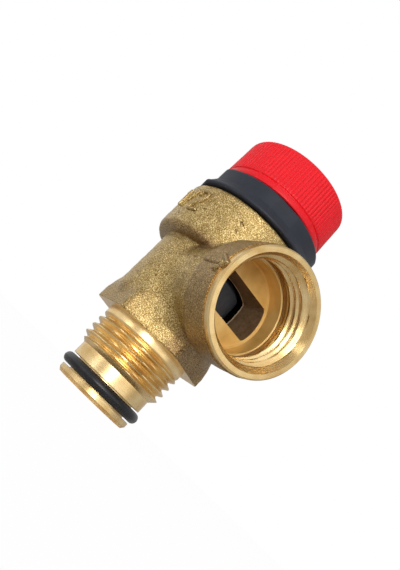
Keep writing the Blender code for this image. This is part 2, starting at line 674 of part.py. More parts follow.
def bonnet(materials):
    """Plastic cover screwed into the bell, with a flange, a collar and cams on its neck."""
    black = materials["black"]
    rings = []
    for i in range(FINE_ROUND):
        angle = FLAT_TURN + 360 * i / FINE_ROUND
        along = math.cos(math.radians(angle))
        across = math.sin(math.radians(angle))
        rings.append([(radius * along, radius * across, z) for radius, z in bonnet_section(angle)])
    piece = lofted("bonnet", rings, black, closed=True)
    boolean(piece, "UNION", cam_ring("bonnet_cams", 0.0, 0.0, CAM_BASE_Z - CAM_ROOT, black))
    return piece


def ribbed_ring(radius, height, depth):
    """Ring of points that steps in by depth at every second point."""
    points = circle(radius, height, 2 * RIB_COUNT)
    inner = circle(radius - depth, height, 2 * RIB_COUNT)
    return [inner[i] if i % 2 else points[i] for i in range(len(points))]


def knob_form(material):
    """Outside of the knob: smooth lip, groove, ribbed side and rounded top edge."""
    lip_top = KNOB_Z + KNOB_LIP_HEIGHT
    groove = 0.2 * MM
    shoulder = KNOB_TOP_Z - KNOB_EDGE_ROUNDING
    top_radius = KNOB_RADIUS - KNOB_DRAFT
    rings = [
        ribbed_ring(KNOB_RADIUS - groove, KNOB_Z, 0.0),
        ribbed_ring(KNOB_RADIUS, KNOB_Z + groove, 0.0),
        ribbed_ring(KNOB_RADIUS - groove / 2, lip_top, 0.0),
        ribbed_ring(KNOB_RADIUS - RIB_DEPTH - groove, lip_top + groove, 0.0),
        ribbed_ring(KNOB_RADIUS - groove / 2, lip_top + 2 * groove, RIB_DEPTH),
        ribbed_ring(top_radius, shoulder, RIB_DEPTH),
    ]
    corner = (top_radius - KNOB_EDGE_ROUNDING, shoulder)
    rings += [ribbed_ring(r, z, 0.0) for r, z in arc(corner, KNOB_EDGE_ROUNDING, 25, 90, 3)]
    return lofted("knob", rings, material)


def knob_underside(material):
    """Hollow under the knob: skirt, web and the hub that dips into the bonnet."""
    beyond = MM
    outline = [
        (0.0, KNOB_Z - beyond), (SKIRT_BORE_RADIUS, KNOB_Z - beyond), (SKIRT_BORE_RADIUS, WEB_Z),
        (HUB_RADIUS, WEB_Z), (HUB_RADIUS, HUB_Z), (0.0, HUB_Z),
    ]
    return turned("knob_underside", outline, material)


def knob_recess(material):
    """Hollow in the knob's top: ledge for the cap, well for the screw, stem hole."""
    beyond = MM
    well = HUB_RADIUS - HUB_WALL
    recess = CAP_RADIUS + CLEARANCE
    outline = [
        (0.0, HUB_Z - beyond), (STEM_HOLE_RADIUS, HUB_Z - beyond), (STEM_HOLE_RADIUS, HUB_TOP_Z),
        (well, HUB_TOP_Z), (well, WEB_TOP_Z), (recess - CAP_LEDGE, WEB_TOP_Z),
        (recess - CAP_LEDGE, LEDGE_Z), (recess, LEDGE_Z), (recess, KNOB_TOP_Z + beyond),
        (0.0, KNOB_TOP_Z + beyond),
    ]
    return turned("knob_recess", outline, material)


def knob(materials, parent):
    """Ribbed red knob that turns on the stem and climbs the bonnet's cams."""
    red = materials["red"]
    piece = knob_form(red)
    piece.parent = parent
    boolean(piece, "DIFFERENCE", knob_underside(red))
    boolean(piece, "DIFFERENCE", knob_recess(red))
    boolean(piece, "UNION", cam_ring("knob_cams", CAM_LAG_SHARE, CLEARANCE, WEB_Z + CAM_ROOT, red))
    return piece


def knob_cap(materials, parent):
    """Plain disc snapped into the knob's top over the screw."""
    edge = 0.3 * MM
    top = CAP_Z + CAP_THICKNESS
    dish = 0.75 * CAP_RADIUS
    outline = [
        (0.0, CAP_Z), (CAP_RADIUS, CAP_Z), (CAP_RADIUS, top - edge), (CAP_RADIUS - edge, top),
        (dish + edge, top), (dish, top - edge), (0.0, top - edge),
    ]
    return turned("knob_cap", outline, materials["red"], facets=ROUND, parent=parent)


def body_root(name, parent=None):
    """Empty on the stem's axis that carries the pieces of one moving body."""
    empty = bpy.data.objects.new(name, None)
    bpy.context.scene.collection.objects.link(empty)
    empty.parent = parent
    return empty


def build():
    """Builds every piece in an empty scene."""
    for old in list(bpy.data.objects):
        bpy.data.objects.remove(old, do_unlink=True)
    materials = {
        "brass": finish("brass", (0.62, 0.44, 0.17), 0.45, 1.0),
        "stem": finish("turned_brass", (0.72, 0.53, 0.24), 0.25, 1.0),
        "steel": finish("plated_steel", (0.6, 0.6, 0.6), 0.3, 1.0),
        "rubber": finish("black_rubber", (0.02, 0.02, 0.022), 0.6),
        "black": finish("black_plastic", (0.035, 0.042, 0.05), 0.5),
        "red": finish("red_plastic", (0.78, 0.03, 0.04), 0.4),
    }
    lift = body_root("stem_lift")
    turn = body_root("knob_turn", lift)

    valve_body(materials)
    inlet_o_ring(materials)
    diaphragm(materials)
    slip_ring(materials)
    bonnet(materials)
    spring_adjuster(materials)

    seat_disc(materials, lift)
    disc_holder(materials, lift)
    washer(
        "disc_washer", SCREW_HOLE_RADIUS, DISC_WASHER_RADIUS, DISC_WASHER_Z,
        DISC_WASHER_THICKNESS, materials["steel"], lift,
    )
    disc_screw_length = STEM_FOOT_Z + SCREW_GRIP - DISC_SCREW_SEAT_Z
    screw("disc_screw", DISC_SCREW_SEAT_Z, 1, disc_screw_length, materials, lift)
    lower_spring_plate(materials, lift)
    spring(materials)
    stem(materials, lift)
    washer(
        "knob_washer", SCREW_HOLE_RADIUS, WASHER_RADIUS, WASHER_Z,
        WASHER_THICKNESS, materials["steel"], lift,
    )
    knob_screw_length = KNOB_SCREW_SEAT_Z - HUB_TOP_Z + SCREW_GRIP
    screw("knob_screw", KNOB_SCREW_SEAT_Z, -1, knob_screw_length, materials, lift)

    knob(materials, turn)
    knob_cap(materials, turn)


build()
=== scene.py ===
"""Looks of a diaphragm pressure relief valve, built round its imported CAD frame."""

import math

import bpy
import numpy as np
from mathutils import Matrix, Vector


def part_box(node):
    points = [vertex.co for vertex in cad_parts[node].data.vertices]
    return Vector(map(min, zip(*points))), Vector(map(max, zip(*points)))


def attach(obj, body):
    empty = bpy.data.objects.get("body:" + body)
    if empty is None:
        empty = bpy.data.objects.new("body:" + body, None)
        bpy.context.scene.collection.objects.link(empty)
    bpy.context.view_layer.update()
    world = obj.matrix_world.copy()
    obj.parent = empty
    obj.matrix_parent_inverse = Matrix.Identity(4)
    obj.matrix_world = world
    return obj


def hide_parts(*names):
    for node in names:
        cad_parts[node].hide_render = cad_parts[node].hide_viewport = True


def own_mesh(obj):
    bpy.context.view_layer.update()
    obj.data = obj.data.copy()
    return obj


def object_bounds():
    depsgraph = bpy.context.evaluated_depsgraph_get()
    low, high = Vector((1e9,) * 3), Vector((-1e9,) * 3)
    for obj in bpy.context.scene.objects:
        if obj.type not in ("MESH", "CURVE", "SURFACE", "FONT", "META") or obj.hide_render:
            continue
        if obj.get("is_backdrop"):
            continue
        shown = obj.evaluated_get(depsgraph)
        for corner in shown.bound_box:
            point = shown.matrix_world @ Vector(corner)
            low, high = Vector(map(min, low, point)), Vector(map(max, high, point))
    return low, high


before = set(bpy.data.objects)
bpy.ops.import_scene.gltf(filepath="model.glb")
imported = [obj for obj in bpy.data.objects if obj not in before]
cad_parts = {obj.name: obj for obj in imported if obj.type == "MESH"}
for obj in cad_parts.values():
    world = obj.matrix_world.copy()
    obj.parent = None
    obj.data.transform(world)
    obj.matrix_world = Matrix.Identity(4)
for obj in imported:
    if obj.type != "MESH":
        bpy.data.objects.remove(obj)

cad_low, cad_high = (list(corner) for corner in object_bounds())

# ---------------------------------------------------------------- camera and studio
# The valve stands on a plain pale floor in a white studio, in front of a camera a
# hand's breadth away that looks slightly up at the outlet. Three soft lamps light it,
# and its gloss mirrors a pale room with four brighter patches.

MM = 0.001

camera_data = bpy.data.cameras.new("camera")
camera_data.sensor_width = 36.0
camera_data.lens = 34.488
camera_data.shift_x, camera_data.shift_y = -0.00137, 0.00085
camera_data.clip_start, camera_data.clip_end = 0.005, 20.0
camera = bpy.data.objects.new("camera", camera_data)
camera.location = (102.995 * MM, -49.829 * MM, -13.602 * MM)
camera.rotation_euler = [math.radians(angle) for angle in (110.311, -42.457, 50.113)]
bpy.context.scene.collection.objects.link(camera)
bpy.context.scene.camera = camera
bpy.context.scene.view_settings.view_transform = "Standard"


def soft_lamp(name, place, target, size, power):
    """Square area lamp at place, facing target, both in metres."""
    lamp = bpy.data.lights.new(name, "AREA")
    lamp.shape, lamp.size, lamp.energy = "SQUARE", size, power
    stand = bpy.data.objects.new(name, lamp)
    stand.location = place
    aim = Vector(target) - Vector(place)
    stand.rotation_euler = aim.to_track_quat("-Z", "Y").to_euler()
    bpy.context.scene.collection.objects.link(stand)


soft_lamp("key_lamp", (0.20, -0.10, 0.26), (0.0, 0.0, 0.012), 0.26, 0.16)
soft_lamp("front_lamp", (0.31, -0.175, 0.058), (0.0, 0.0, 0.005), 0.15, 0.56)
soft_lamp("side_lamp", (0.06, -0.36, 0.065), (0.0, 0.0, 0.015), 0.09, 0.08)


def link(tree, source, target):
    """Joins an output socket to an input socket."""
    tree.links.new(source, target)


def reckoned(tree, operation, *values):
    """Result of a Math node on values, each a number or another node's output."""
    node = tree.nodes.new("ShaderNodeMath")
    node.operation = operation
    for socket, value in zip(node.inputs, values):
        if isinstance(value, float):
            socket.default_value = value
        else:
            link(tree, value, socket)
    return node.outputs[0]


def mixed(tree, share, first, second):
    """Colour at a share of the way from first to second, each a colour or an output."""
    node = tree.nodes.new("ShaderNodeMix")
    node.data_type = "RGBA"
    link(tree, share, node.inputs["Factor"])
    for label, value in (("A", first), ("B", second)):
        if isinstance(value, tuple):
            node.inputs[label].default_value = (*value, 1.0)
        else:
            link(tree, value, node.inputs[label])
    return node.outputs["Result"]


def rays_seen(tree):
    """Two outputs: 1 for rays from the camera, and 1 for those and for rays from a gloss
    or through glass. Both are 0 for the rest."""
    path = tree.nodes.new("ShaderNodeLightPath")
    direct = path.outputs["Is Camera Ray"]
    either = reckoned(tree, "MAXIMUM", direct, path.outputs["Is Glossy Ray"])
    return direct, reckoned(tree, "MAXIMUM", either, path.outputs["Is Transmission Ray"])


# Brightness of the room, and its patches: direction, inner and outer degrees, strength.
ROOM = 0.56
PATCHES = (
    ((0.96, 0.27, 0.03), 6, 34, 1.05),
    ((0.09, -0.99, 0.06), 6, 28, 0.50),
    ((-0.80, -0.59, 0.09), 15, 60, 0.45),
    ((0.85, -0.50, 0.03), 10, 32, 0.30),
)
world = bpy.data.worlds.new("studio")
world.use_nodes = True
bpy.context.scene.world = world
tree = world.node_tree
background = tree.nodes["Background"]
direct, seen = rays_seen(tree)
sky = tree.nodes.new("ShaderNodeTexCoord")
level = ROOM
for toward, inner, outer, strength in PATCHES:
    facing = tree.nodes.new("ShaderNodeVectorMath")
    facing.operation = "DOT_PRODUCT"
    facing.inputs[1].default_value = toward
    link(tree, sky.outputs["Generated"], facing.inputs[0])
    patch = tree.nodes.new("ShaderNodeMapRange")
    patch.interpolation_type = "SMOOTHSTEP"
    patch.inputs["From Min"].default_value = math.cos(math.radians(outer))
    patch.inputs["From Max"].default_value = math.cos(math.radians(inner))
    patch.inputs["To Min"].default_value, patch.inputs["To Max"].default_value = 0.0, strength
    link(tree, facing.outputs["Value"], patch.inputs["Value"])
    level = reckoned(tree, "ADD", level, patch.outputs["Result"])
dull_or_gloss = mixed(tree, seen, (0.32, 0.32, 0.33), level)
link(tree, mixed(tree, direct, dull_or_gloss, (1.0, 1.0, 1.0)), background.inputs["Color"])

floor_z = cad_low[2] - 0.02 * MM
corners = [(x, y, floor_z) for x, y in ((-2, -2), (2, -2), (2, 2), (-2, 2))]
floor_mesh = bpy.data.meshes.new("floor")
floor_mesh.from_pydata(corners, [], [(0, 1, 2, 3)])
floor = bpy.data.objects.new("floor", floor_mesh)
bpy.context.scene.collection.objects.link(floor)
paper = bpy.data.materials.new("pale_paper")
paper.use_nodes = True
tree = paper.node_tree
sheet = tree.nodes["Principled BSDF"]
sheet.inputs["Base Color"].default_value = (0.90, 0.90, 0.90, 1)
sheet.inputs["Roughness"].default_value = 0.9
glow = tree.nodes.new("ShaderNodeEmission")
glow.inputs["Color"].default_value = (1, 1, 1, 1)
blend = tree.nodes.new("ShaderNodeMixShader")
direct, seen = rays_seen(tree)
share = reckoned(tree, "MULTIPLY_ADD", direct, 0.82, reckoned(tree, "MULTIPLY", seen, 0.16))
link(tree, share, blend.inputs[0])
link(tree, sheet.outputs[0], blend.inputs[1])
link(tree, glow.outputs[0], blend.inputs[2])
link(tree, blend.outputs[0], tree.nodes["Material Output"].inputs["Surface"])
floor_mesh.materials.append(paper)
floor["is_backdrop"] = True

# ---------------------------------------------------------------- valve body
# One brass forging: hexagonal foot, neck, bell and outlet boss, shot-blasted, with
# raised size figures. The spigot, threads, seat, bores and mouth are turned in it.

body_low, body_high = (np.array(corner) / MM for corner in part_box("valve_body"))
RIM_Z = body_high[2]
REACH = body_high[0]
BELL = body_high[1]
TIP_Z = body_low[2]
NECK = 12.9
FOOT_FLAT, FOOT_CORNER = 12.3, 13.95
BELL_FOOT = RIM_Z - 11.7
OUTLET_Z = 15.0
BOSS, TRUNK, BOSS_BACK = 12.2, 10.9, REACH - 9.5
BAND_X = REACH - 1.6
THREAD, CORE, PITCH = 10.48, 9.32, 1.814
THREAD_DEPTH = THREAD - CORE
ROOT_Z, CREST_Z = -8.7, -8.19
SPIGOT = 9.0
GROOVE, GROOVE_Z, GROOVE_HALF = 7.3, TIP_Z + 3.1, 1.5
INLET_BORE, SEAT_BORE, CHAMBER = 6.0, 5.0, 10.3
SLEEVE, SLEEVE_Z, RIM_CHAMFER = 13.6, 22.0, 0.45
MOUTH, CONE_AT_FACE = 11.95, 10.75


def rounded_union(a, b, radius):
    """Distance to two solids together, their corner filled by an arc of the radius."""
    return np.maximum(np.minimum(a, b), radius) - np.hypot(
        np.maximum(radius - a, 0), np.maximum(radius - b, 0)
    )


def rounded_common(a, b, radius):
    """Distance to what two solids share, their edge rounded by an arc of the radius."""
    return np.minimum(np.maximum(a, b), -radius) + np.hypot(
        np.maximum(radius + a, 0), np.maximum(radius + b, 0)
    )


def eased(share):
    """0 below 0, 1 above 1, and a smooth climb between: 3s squared minus 2s cubed."""
    share = np.clip(share, 0, 1)
    return share * share * (3 - 2 * share)


def forging(points):
    """Distance in mm to the forging's skin, from foot, neck, bell, trunk and boss."""
    x, y, z = points[..., 0], points[..., 1], points[..., 2]
    out, turn = np.hypot(x, y), np.arctan2(y, x)

    from_flat = np.mod(turn, math.radians(60)) - math.radians(30)
    hexagon = np.minimum(FOOT_FLAT / np.cos(from_flat), FOOT_CORNER)
    climb = eased((z - 1.6) / (5.2 + 1.6 * np.cos(6 * turn)))
    foot = out - (hexagon + (NECK - hexagon) * climb)
    neck = rounded_common(np.maximum(foot, z - BELL_FOOT - 2.0), -z, 0.15)

    lip = 0.9 + 0.7 * eased((np.abs(np.degrees(turn)) - 40) / 30)
    bell = rounded_common(out - BELL, BELL_FOOT - z, lip)
    bell = rounded_common(bell, z - RIM_Z, 0.3)
    stem_side = rounded_union(neck, bell, 0.3)

    across = np.hypot(y, z - OUTLET_Z)
    trunk = np.maximum(across - TRUNK, np.maximum(x - BOSS_BACK - 2.0, 4.0 - x))
    fillet = 2.0 - 1.5 * eased((z - 14.0) / 5.0)
    boss = rounded_common(across - BOSS, BOSS_BACK - x, 1.1)
    boss = np.maximum(boss, x - REACH - 0.4)
    skin = rounded_union(rounded_union(stem_side, trunk, fillet), boss, 0.45)

    swell = 0.035 * np.sin(1.1 * x + 1.7 * z) * np.sin(1.3 * y - 0.9 * z)
    swell = swell + 0.02 * np.sin(2.9 * x - 2.3 * y) * np.sin(2.6 * z + 1.1 * y)
    return skin + swell * eased((z - 0.4) / 1.5) * eased((RIM_Z - 0.6 - z) / 1.5)


def skin_of(solid, low, high, cell):
    """Closed mesh of the zero level of solid: one point in each grid cell that the level
    crosses, the mean of its crossed edges, drawn onto the level along the slope. One
    face joins the four cells round each crossed edge."""
    axes = [np.arange(a, b + cell, cell) for a, b in zip(low, high)]
    grid = np.stack(np.meshgrid(*axes, indexing="ij"), -1)
    value = solid(grid)
    cells = tuple(n - 1 for n in value.shape)
    total, hits, found = np.zeros(cells + (3,)), np.zeros(cells), []
    for axis in range(3):
        u, v = [k for k in range(3) if k != axis]
        first = np.take(value, range(value.shape[axis] - 1), axis)
        second = np.take(value, range(1, value.shape[axis]), axis)
        crossed = (first < 0) != (second < 0)
        share = np.where(crossed, first / np.where(crossed, first - second, 1.0), 0.0)
        place = np.take(grid, range(value.shape[axis] - 1), axis).copy()
        place[..., axis] += share * cell
        for du in (0, 1):
            for dv in (0, 1):
                part = [slice(None)] * 3
                part[u] = slice(du, du + cells[u])
                part[v] = slice(dv, dv + cells[v])
                part = tuple(part)
                hits += crossed[part]
                total += place[part] * crossed[part][..., None]
        where = np.argwhere(crossed)
        inner = (where[:, u] > 0) & (where[:, v] > 0)
        inner &= (where[:, u] < cells[u]) & (where[:, v] < cells[v])
        where = where[inner]
        turned_over = (first[tuple(where.T)] < 0) == (axis == 1)
        found.append((u, v, where, turned_over))
    active = hits > 0
    index = np.full(cells, -1)
    index[active] = np.arange(active.sum())
    points = total[active] / hits[active][:, None]
    faces = []
    for u, v, where, turned_over in found:
        ring = []
        for du, dv in ((0, 0), (1, 0), (1, 1), (0, 1)):
            at = where.copy()
            at[:, u] -= du
            at[:, v] -= dv
            ring.append(index[tuple(at.T)])
        ring = np.stack(ring, 1)
        ring[turned_over] = ring[turned_over][:, ::-1]
        faces.append(ring)
    nudge = 0.02
    for _ in range(3):
        here = solid(points)
        slope = np.stack(
            [solid(points + step) - solid(points - step) for step in np.eye(3) * nudge], -1
        ) / (2 * nudge)
        steep = np.maximum((slope * slope).sum(-1), 0.2)
        points = points - np.clip(here / steep, -cell / 2, cell / 2)[:, None] * slope
    return points, np.concatenate(faces)


def mesh_of(name, points, faces, smooth_angle=38.0):
    """Mesh from points in mm and rows of corner numbers; a row may repeat its last corner."""
    mesh = bpy.data.meshes.new(name)
    rows = [tuple(dict.fromkeys(row)) for row in np.asarray(faces).tolist()]
    mesh.from_pydata((np.asarray(points) * MM).tolist(), [], rows)
    mesh.shade_smooth()
    mesh.set_sharp_from_angle(angle=math.radians(smooth_angle))
    return mesh


def round_about(radius, height, closed=False):
    """Points and faces of a turned surface: row i has radius[i] and height[i] at each
    step round Z. Closed joins the last row to the first, else both ends get a flat fan."""
    radius, height = np.atleast_2d(radius), np.atleast_2d(height)
    rows, steps = radius.shape
    turn = np.linspace(0, 2 * math.pi, steps, endpoint=False)
    points = np.stack([radius * np.cos(turn), radius * np.sin(turn), height], -1).reshape(-1, 3)
    number = np.arange(rows * steps).reshape(rows, steps)
    upper = np.roll(number, -1, 0) if closed else number[1:]
    lower = number if closed else number[:-1]
    quads = np.stack([lower, np.roll(lower, -1, 1), np.roll(upper, -1, 1), upper], -1).reshape(-1, 4)
    if closed:
        return points, quads
    ends = np.array([[0, 0, height[0].mean()], [0, 0, height[-1].mean()]])
    low, high = len(points), len(points) + 1
    first, last = number[0], number[-1]
    under = np.stack([np.roll(first, -1), first, np.full(steps, low), np.full(steps, low)], -1)
    over = np.stack([last, np.roll(last, -1), np.full(steps, high), np.full(steps, high)], -1)
    return np.concatenate([points, ends]), np.concatenate([quads, under, over])


def profile_rows(corners, longest):
    """Points along a chain of (radius, height) corners, none further apart than longest."""
    corners = np.array(corners, float)
    points = [corners[:1]]
    for a, b in zip(corners[:-1], corners[1:]):
        count = max(1, int(math.ceil(np.hypot(*(b - a)) / longest)))
        points.append(a + (b - a) * np.linspace(0, 1, count + 1)[1:, None])
    return np.concatenate(points)


def thread_wave(along, turn, crest):
    """0 at the root and 1 at the crest of a right-hand thread: a triangle wave of the
    pitch along the axis, one pitch on per turn, with rounded crest and root."""
    phase = np.mod((along - crest) / PITCH - turn / (2 * math.pi), 1.0)
    wave = np.abs(2 * phase - 1)
    return 0.35 * wave + 0.65 * eased((wave - 0.08) / 0.84)


def repeated(rows, steps):
    """Radius and height of (radius, height) rows, each the same at every step round."""
    return np.repeat(rows[:, :1], steps, 1), np.repeat(rows[:, 1:], steps, 1)


def with_thread(rows, low_z, high_z):
    """The rows, and after them closely spaced ones at the core radius for a thread."""
    heights = np.arange(low_z, high_z, THREAD_ROW)
    return np.concatenate([rows, np.stack([np.full_like(heights, CORE), heights], 1)])


STEPS, THREAD_ROW = 180, 0.16
turn = np.linspace(0, 2 * math.pi, STEPS, endpoint=False)[None, :]

# Outside of the inlet: tip, O-ring groove, spigot, thread and its run-out.
spigot = profile_rows([
    (SPIGOT - 0.9, TIP_Z), (SPIGOT - 0.55, TIP_Z), (SPIGOT, TIP_Z + 0.7),
    (SPIGOT, GROOVE_Z - GROOVE_HALF), (GROOVE, GROOVE_Z - GROOVE_HALF),
    (GROOVE, GROOVE_Z + GROOVE_HALF), (SPIGOT, GROOVE_Z + GROOVE_HALF),
    (SPIGOT, ROOT_Z - 0.3), (CORE, ROOT_Z),
], 0.45)
radius, height = repeated(with_thread(spigot, ROOT_Z + 0.02, 0.4), STEPS)
crests = CORE + THREAD_DEPTH * thread_wave(height, turn, CREST_Z)
crests = np.minimum(crests, CORE + np.maximum(height - ROOT_Z, 0) * 1.1)
run_out = eased((height + 2.5) / 1.1)
crests = crests + (CORE + 0.86 * THREAD_DEPTH - crests) * run_out
radius = np.where(height > ROOT_Z + 0.01, crests, radius)
inlet = mesh_of("inlet", *round_about(radius, height))


def along_outlet(points):
    """Turns points made about Z so that they lie about the outlet's axis."""
    return np.stack([points[:, 2], points[:, 1], OUTLET_Z - points[:, 0]], -1)


# What is turned off round the mouth of the outlet, about Z for now.
band = np.array([
    (14.0, BAND_X), (14.0, REACH + 1.2), (9.0, REACH + 1.2), (9.0, REACH),
    (MOUTH - 0.3, REACH), (MOUTH, REACH - 0.3), (MOUTH, BAND_X),
])
points, faces = round_about(*repeated(band, STEPS), closed=True)
mouth_cut = mesh_of("mouth_cut", along_outlet(points), faces)

# What is bored out along the stem: inlet bore, seat, chamber and bonnet socket.
bore = profile_rows([
    (INLET_BORE + 0.6, TIP_Z - 1.0), (INLET_BORE + 0.6, TIP_Z), (INLET_BORE, TIP_Z + 0.6),
    (INLET_BORE, 5.9), (SEAT_BORE, 6.9), (SEAT_BORE, 12.1), (SEAT_BORE + 0.35, 12.5),
    (SEAT_BORE + 1.05, 12.5), (SEAT_BORE + 1.4, 12.15), (SEAT_BORE + 1.4, 9.5),
    (CHAMBER, 9.5), (CHAMBER, SLEEVE_Z), (SLEEVE, SLEEVE_Z), (SLEEVE, RIM_Z - RIM_CHAMFER),
    (SLEEVE + RIM_CHAMFER, RIM_Z), (SLEEVE + RIM_CHAMFER, RIM_Z + 1.0),
], 1.2)
bore_cut = mesh_of("bore_cut", *round_about(*repeated(bore, 144)))

# Outlet socket: flat bottom, smooth bore, relief, female thread and wide mouth cone.
BOTTOM_X, BORE_END_X, THREAD_X = REACH - 13.2, REACH - 8.8, REACH - 7.3
socket = profile_rows([
    (CORE - 0.35, BOTTOM_X), (CORE, BOTTOM_X + 0.35), (CORE, BORE_END_X - 0.1),
    (CORE + 0.25, BORE_END_X + 0.05), (THREAD + 0.1, BORE_END_X + 0.2),
    (THREAD + 0.1, THREAD_X - 0.3), (CORE + 0.6, THREAD_X),
], 0.5)
radius, height = repeated(with_thread(socket, THREAD_X + 0.05, REACH + 1.0), STEPS)
groove = THREAD - THREAD_DEPTH * thread_wave(height, turn, 0.35)
cone = CONE_AT_FACE + (height - REACH) * 0.62
radius = np.where(height > THREAD_X + 0.02, np.maximum(groove, cone), radius)
points, faces = round_about(radius, height)
socket_cut = mesh_of("socket_cut", along_outlet(points), faces)

# Window pierced from the socket into the chamber: a tapered slot as wide as the bore.
# Each end is flat above and below and bowed at the sides, an arc of its own radius.


def slot_outline(x, side_radius, middle, low_z, high_z):
    """Ring of points at x: up one bowed side, an arc about the middle, and down the other."""
    up = np.linspace(low_z, high_z, 17)
    side = np.sqrt(side_radius**2 - (up - middle) ** 2)
    side[[0, -1]] -= 0.3
    loop = np.concatenate([np.stack([side, up], 1), np.stack([-side, up], 1)[::-1]])
    return np.column_stack([np.full(len(loop), x), loop])


NARROW_X = 8.0
wide = slot_outline(BOTTOM_X, 8.85, OUTLET_Z, 11.8, 19.9)
narrow = slot_outline(NARROW_X, 7.2, 15.6, 13.4, 18.8)
taper = (wide - narrow) / (BOTTOM_X - NARROW_X)
outer_end = narrow + taper * (BOTTOM_X + 0.5 - NARROW_X)
inner_end = narrow - taper * 0.6
count = len(wide)
number = np.arange(count)
after = (number + 1) % count
sides = np.stack([number, after, after + count, number + count], 1).tolist()
window_cut = bpy.data.meshes.new("window_cut")
window_cut.from_pydata(
    (np.concatenate([inner_end, outer_end]) * MM).tolist(), [],
    sides + [number[::-1].tolist(), (number + count).tolist()],
)


def shown(name, mesh):
    """Puts a mesh in the scene as an object at the origin."""
    thing = bpy.data.objects.new(name, mesh)
    bpy.context.scene.collection.objects.link(thing)
    return thing


def carved(start, steps):
    """Adds (UNION) and takes away (DIFFERENCE) meshes from start, one after another."""
    for operation, mesh in steps:
        tool = shown("tool", mesh)
        change = start.modifiers.new("carve", "BOOLEAN")
        change.operation, change.object, change.solver = operation, tool, "MANIFOLD"
        bpy.context.view_layer.update()
        state = bpy.context.evaluated_depsgraph_get()
        ready = bpy.data.meshes.new_from_object(start.evaluated_get(state))
        start.modifiers.clear()
        start.data = ready
        bpy.data.objects.remove(tool)
    return start


def fused(name, parts):
    """One closed mesh of several that may overlap."""
    whole = carved(shown(name, parts[0]), [("UNION", part) for part in parts[1:]])
    mesh = whole.data
    bpy.data.objects.remove(whole)
    return mesh


# Raised size figures on the bell, and a flow arrow on the boss: low rounded ridges.


def bell_skin(path):
    """Points and outward directions on the bell for (degrees round, height)."""
    turn = np.radians(path[:, 0])
    outward = np.stack([np.cos(turn), np.sin(turn), 0 * turn], -1)
    return outward * BELL + np.stack([0 * turn, 0 * turn, path[:, 1]], -1), outward


def boss_skin(path):
    """Points and outward directions on the boss's -Y side for (along the outlet, height)."""
    up = (path[:, 1] - OUTLET_Z) / BOSS
    outward = np.stack([0 * up, -np.sqrt(1 - up**2), up], -1)
    return outward * BOSS + np.stack([path[:, 0], 0 * up, 0 * up + OUTLET_Z], -1), outward


def tube_sides(rows, steps):
    """Faces of a tube of rows of points, steps in each row, open at both ends."""
    number = np.arange(rows * steps).reshape(rows, steps)
    beside = np.roll(number, -1, 1)
    return np.stack([number[:-1], number[1:], beside[1:], beside[:-1]], -1).reshape(-1, 4)


BAR_STEPS = 14


def ridge(skin, corners, wide, high):
    """Closed bar on a skin along a chain of corners: an elliptic section, half as wide as
    wide and as high as high above the skin, that closes in a quarter circle at its ends."""
    path = profile_rows(corners, 0.3)
    for _ in range(2):
        path[1:-1] = (path[:-2] + 2 * path[1:-1] + path[2:]) / 4
    middle, outward = skin(path)
    ahead = np.gradient(middle, axis=0)
    ahead /= np.linalg.norm(ahead, axis=1)[:, None]
    sideways = np.cross(ahead, outward)
    close = np.radians(np.array([88.0, 60.0, 30.0]))
    pick = np.concatenate([[0, 0, 0], np.arange(len(path)), [-1, -1, -1]])
    push = np.concatenate([-np.sin(close), np.zeros(len(path)), np.sin(close[::-1])]) * wide / 2
    shrink = np.concatenate([np.cos(close), np.ones(len(path)), np.cos(close[::-1])])
    lap = np.linspace(0, 2 * math.pi, BAR_STEPS, endpoint=False)
    spine = middle[pick] + ahead[pick] * push[:, None]
    across = sideways[pick][:, None] * (np.cos(lap) * wide / 2)[None, :, None]
    above = outward[pick][:, None] * (np.sin(lap) * high)[None, :, None]
    bar = (spine[:, None] + (across + above) * shrink[:, None, None]).reshape(-1, 3)
    ends = [list(range(BAR_STEPS)), list(range(len(bar) - 1, len(bar) - 1 - BAR_STEPS, -1))]
    mesh = bpy.data.meshes.new("ridge")
    mesh.from_pydata((bar * MM).tolist(), [], tube_sides(len(pick), BAR_STEPS).tolist() + ends)
    return mesh


marks = fused("marks", [
    ridge(bell_skin, [(-100.6, 28.2), (-98.6, 29.4), (-98.4, 25.0)], 0.75, 0.48),
    ridge(bell_skin, [(-91.9, 24.5), (-85.0, 28.9)], 0.75, 0.5),
    ridge(bell_skin, [
        (-80.0, 28.0), (-78.8, 28.9), (-75.4, 29.2), (-71.4, 28.7),
        (-70.6, 27.6), (-73.4, 26.5), (-77.6, 25.4), (-79.6, 24.2),
    ], 0.75, 0.5),
    ridge(bell_skin, [(-79.8, 24.05), (-71.4, 24.15)], 0.75, 0.48),
    ridge(boss_skin, [(19.3, 15.1), (24.6, 14.9)], 1.4, 0.4),
    ridge(boss_skin, [(24.2, 13.2), (26.4, 14.9)], 0.9, 0.42),
    ridge(boss_skin, [(24.0, 16.4), (26.4, 15.0)], 0.9, 0.42),
])


def neck_skin(path):
    """Points and outward directions on the neck for (degrees round, height)."""
    points, outward = bell_skin(path)
    return points - outward * (BELL - NECK), outward


# Blow holes and scars in the skin: short bars sunk to their middle and taken away.
pits = fused("pits", [
    ridge(bell_skin, [(-35.7, 27.3), (-34.6, 26.9), (-34.2, 27.1)], 0.62, 0.42),
    ridge(bell_skin, [(-34.9, 25.4), (-33.9, 24.9)], 0.42, 0.3),
    ridge(bell_skin, [(-64.9, 25.3), (-63.5, 25.1)], 0.55, 0.38),
    ridge(neck_skin, [(-30.4, 3.2), (-29.0, 2.8)], 0.6, 0.42),
    ridge(neck_skin, [(-62.0, 9.3), (-61.0, 9.1)], 0.4, 0.28),
    ridge(bell_skin, [(47.5, 27.6), (48.6, 27.3)], 0.55, 0.4),
    ridge(neck_skin, [(150.0, 12.2), (151.0, 11.8)], 0.5, 0.35),
])

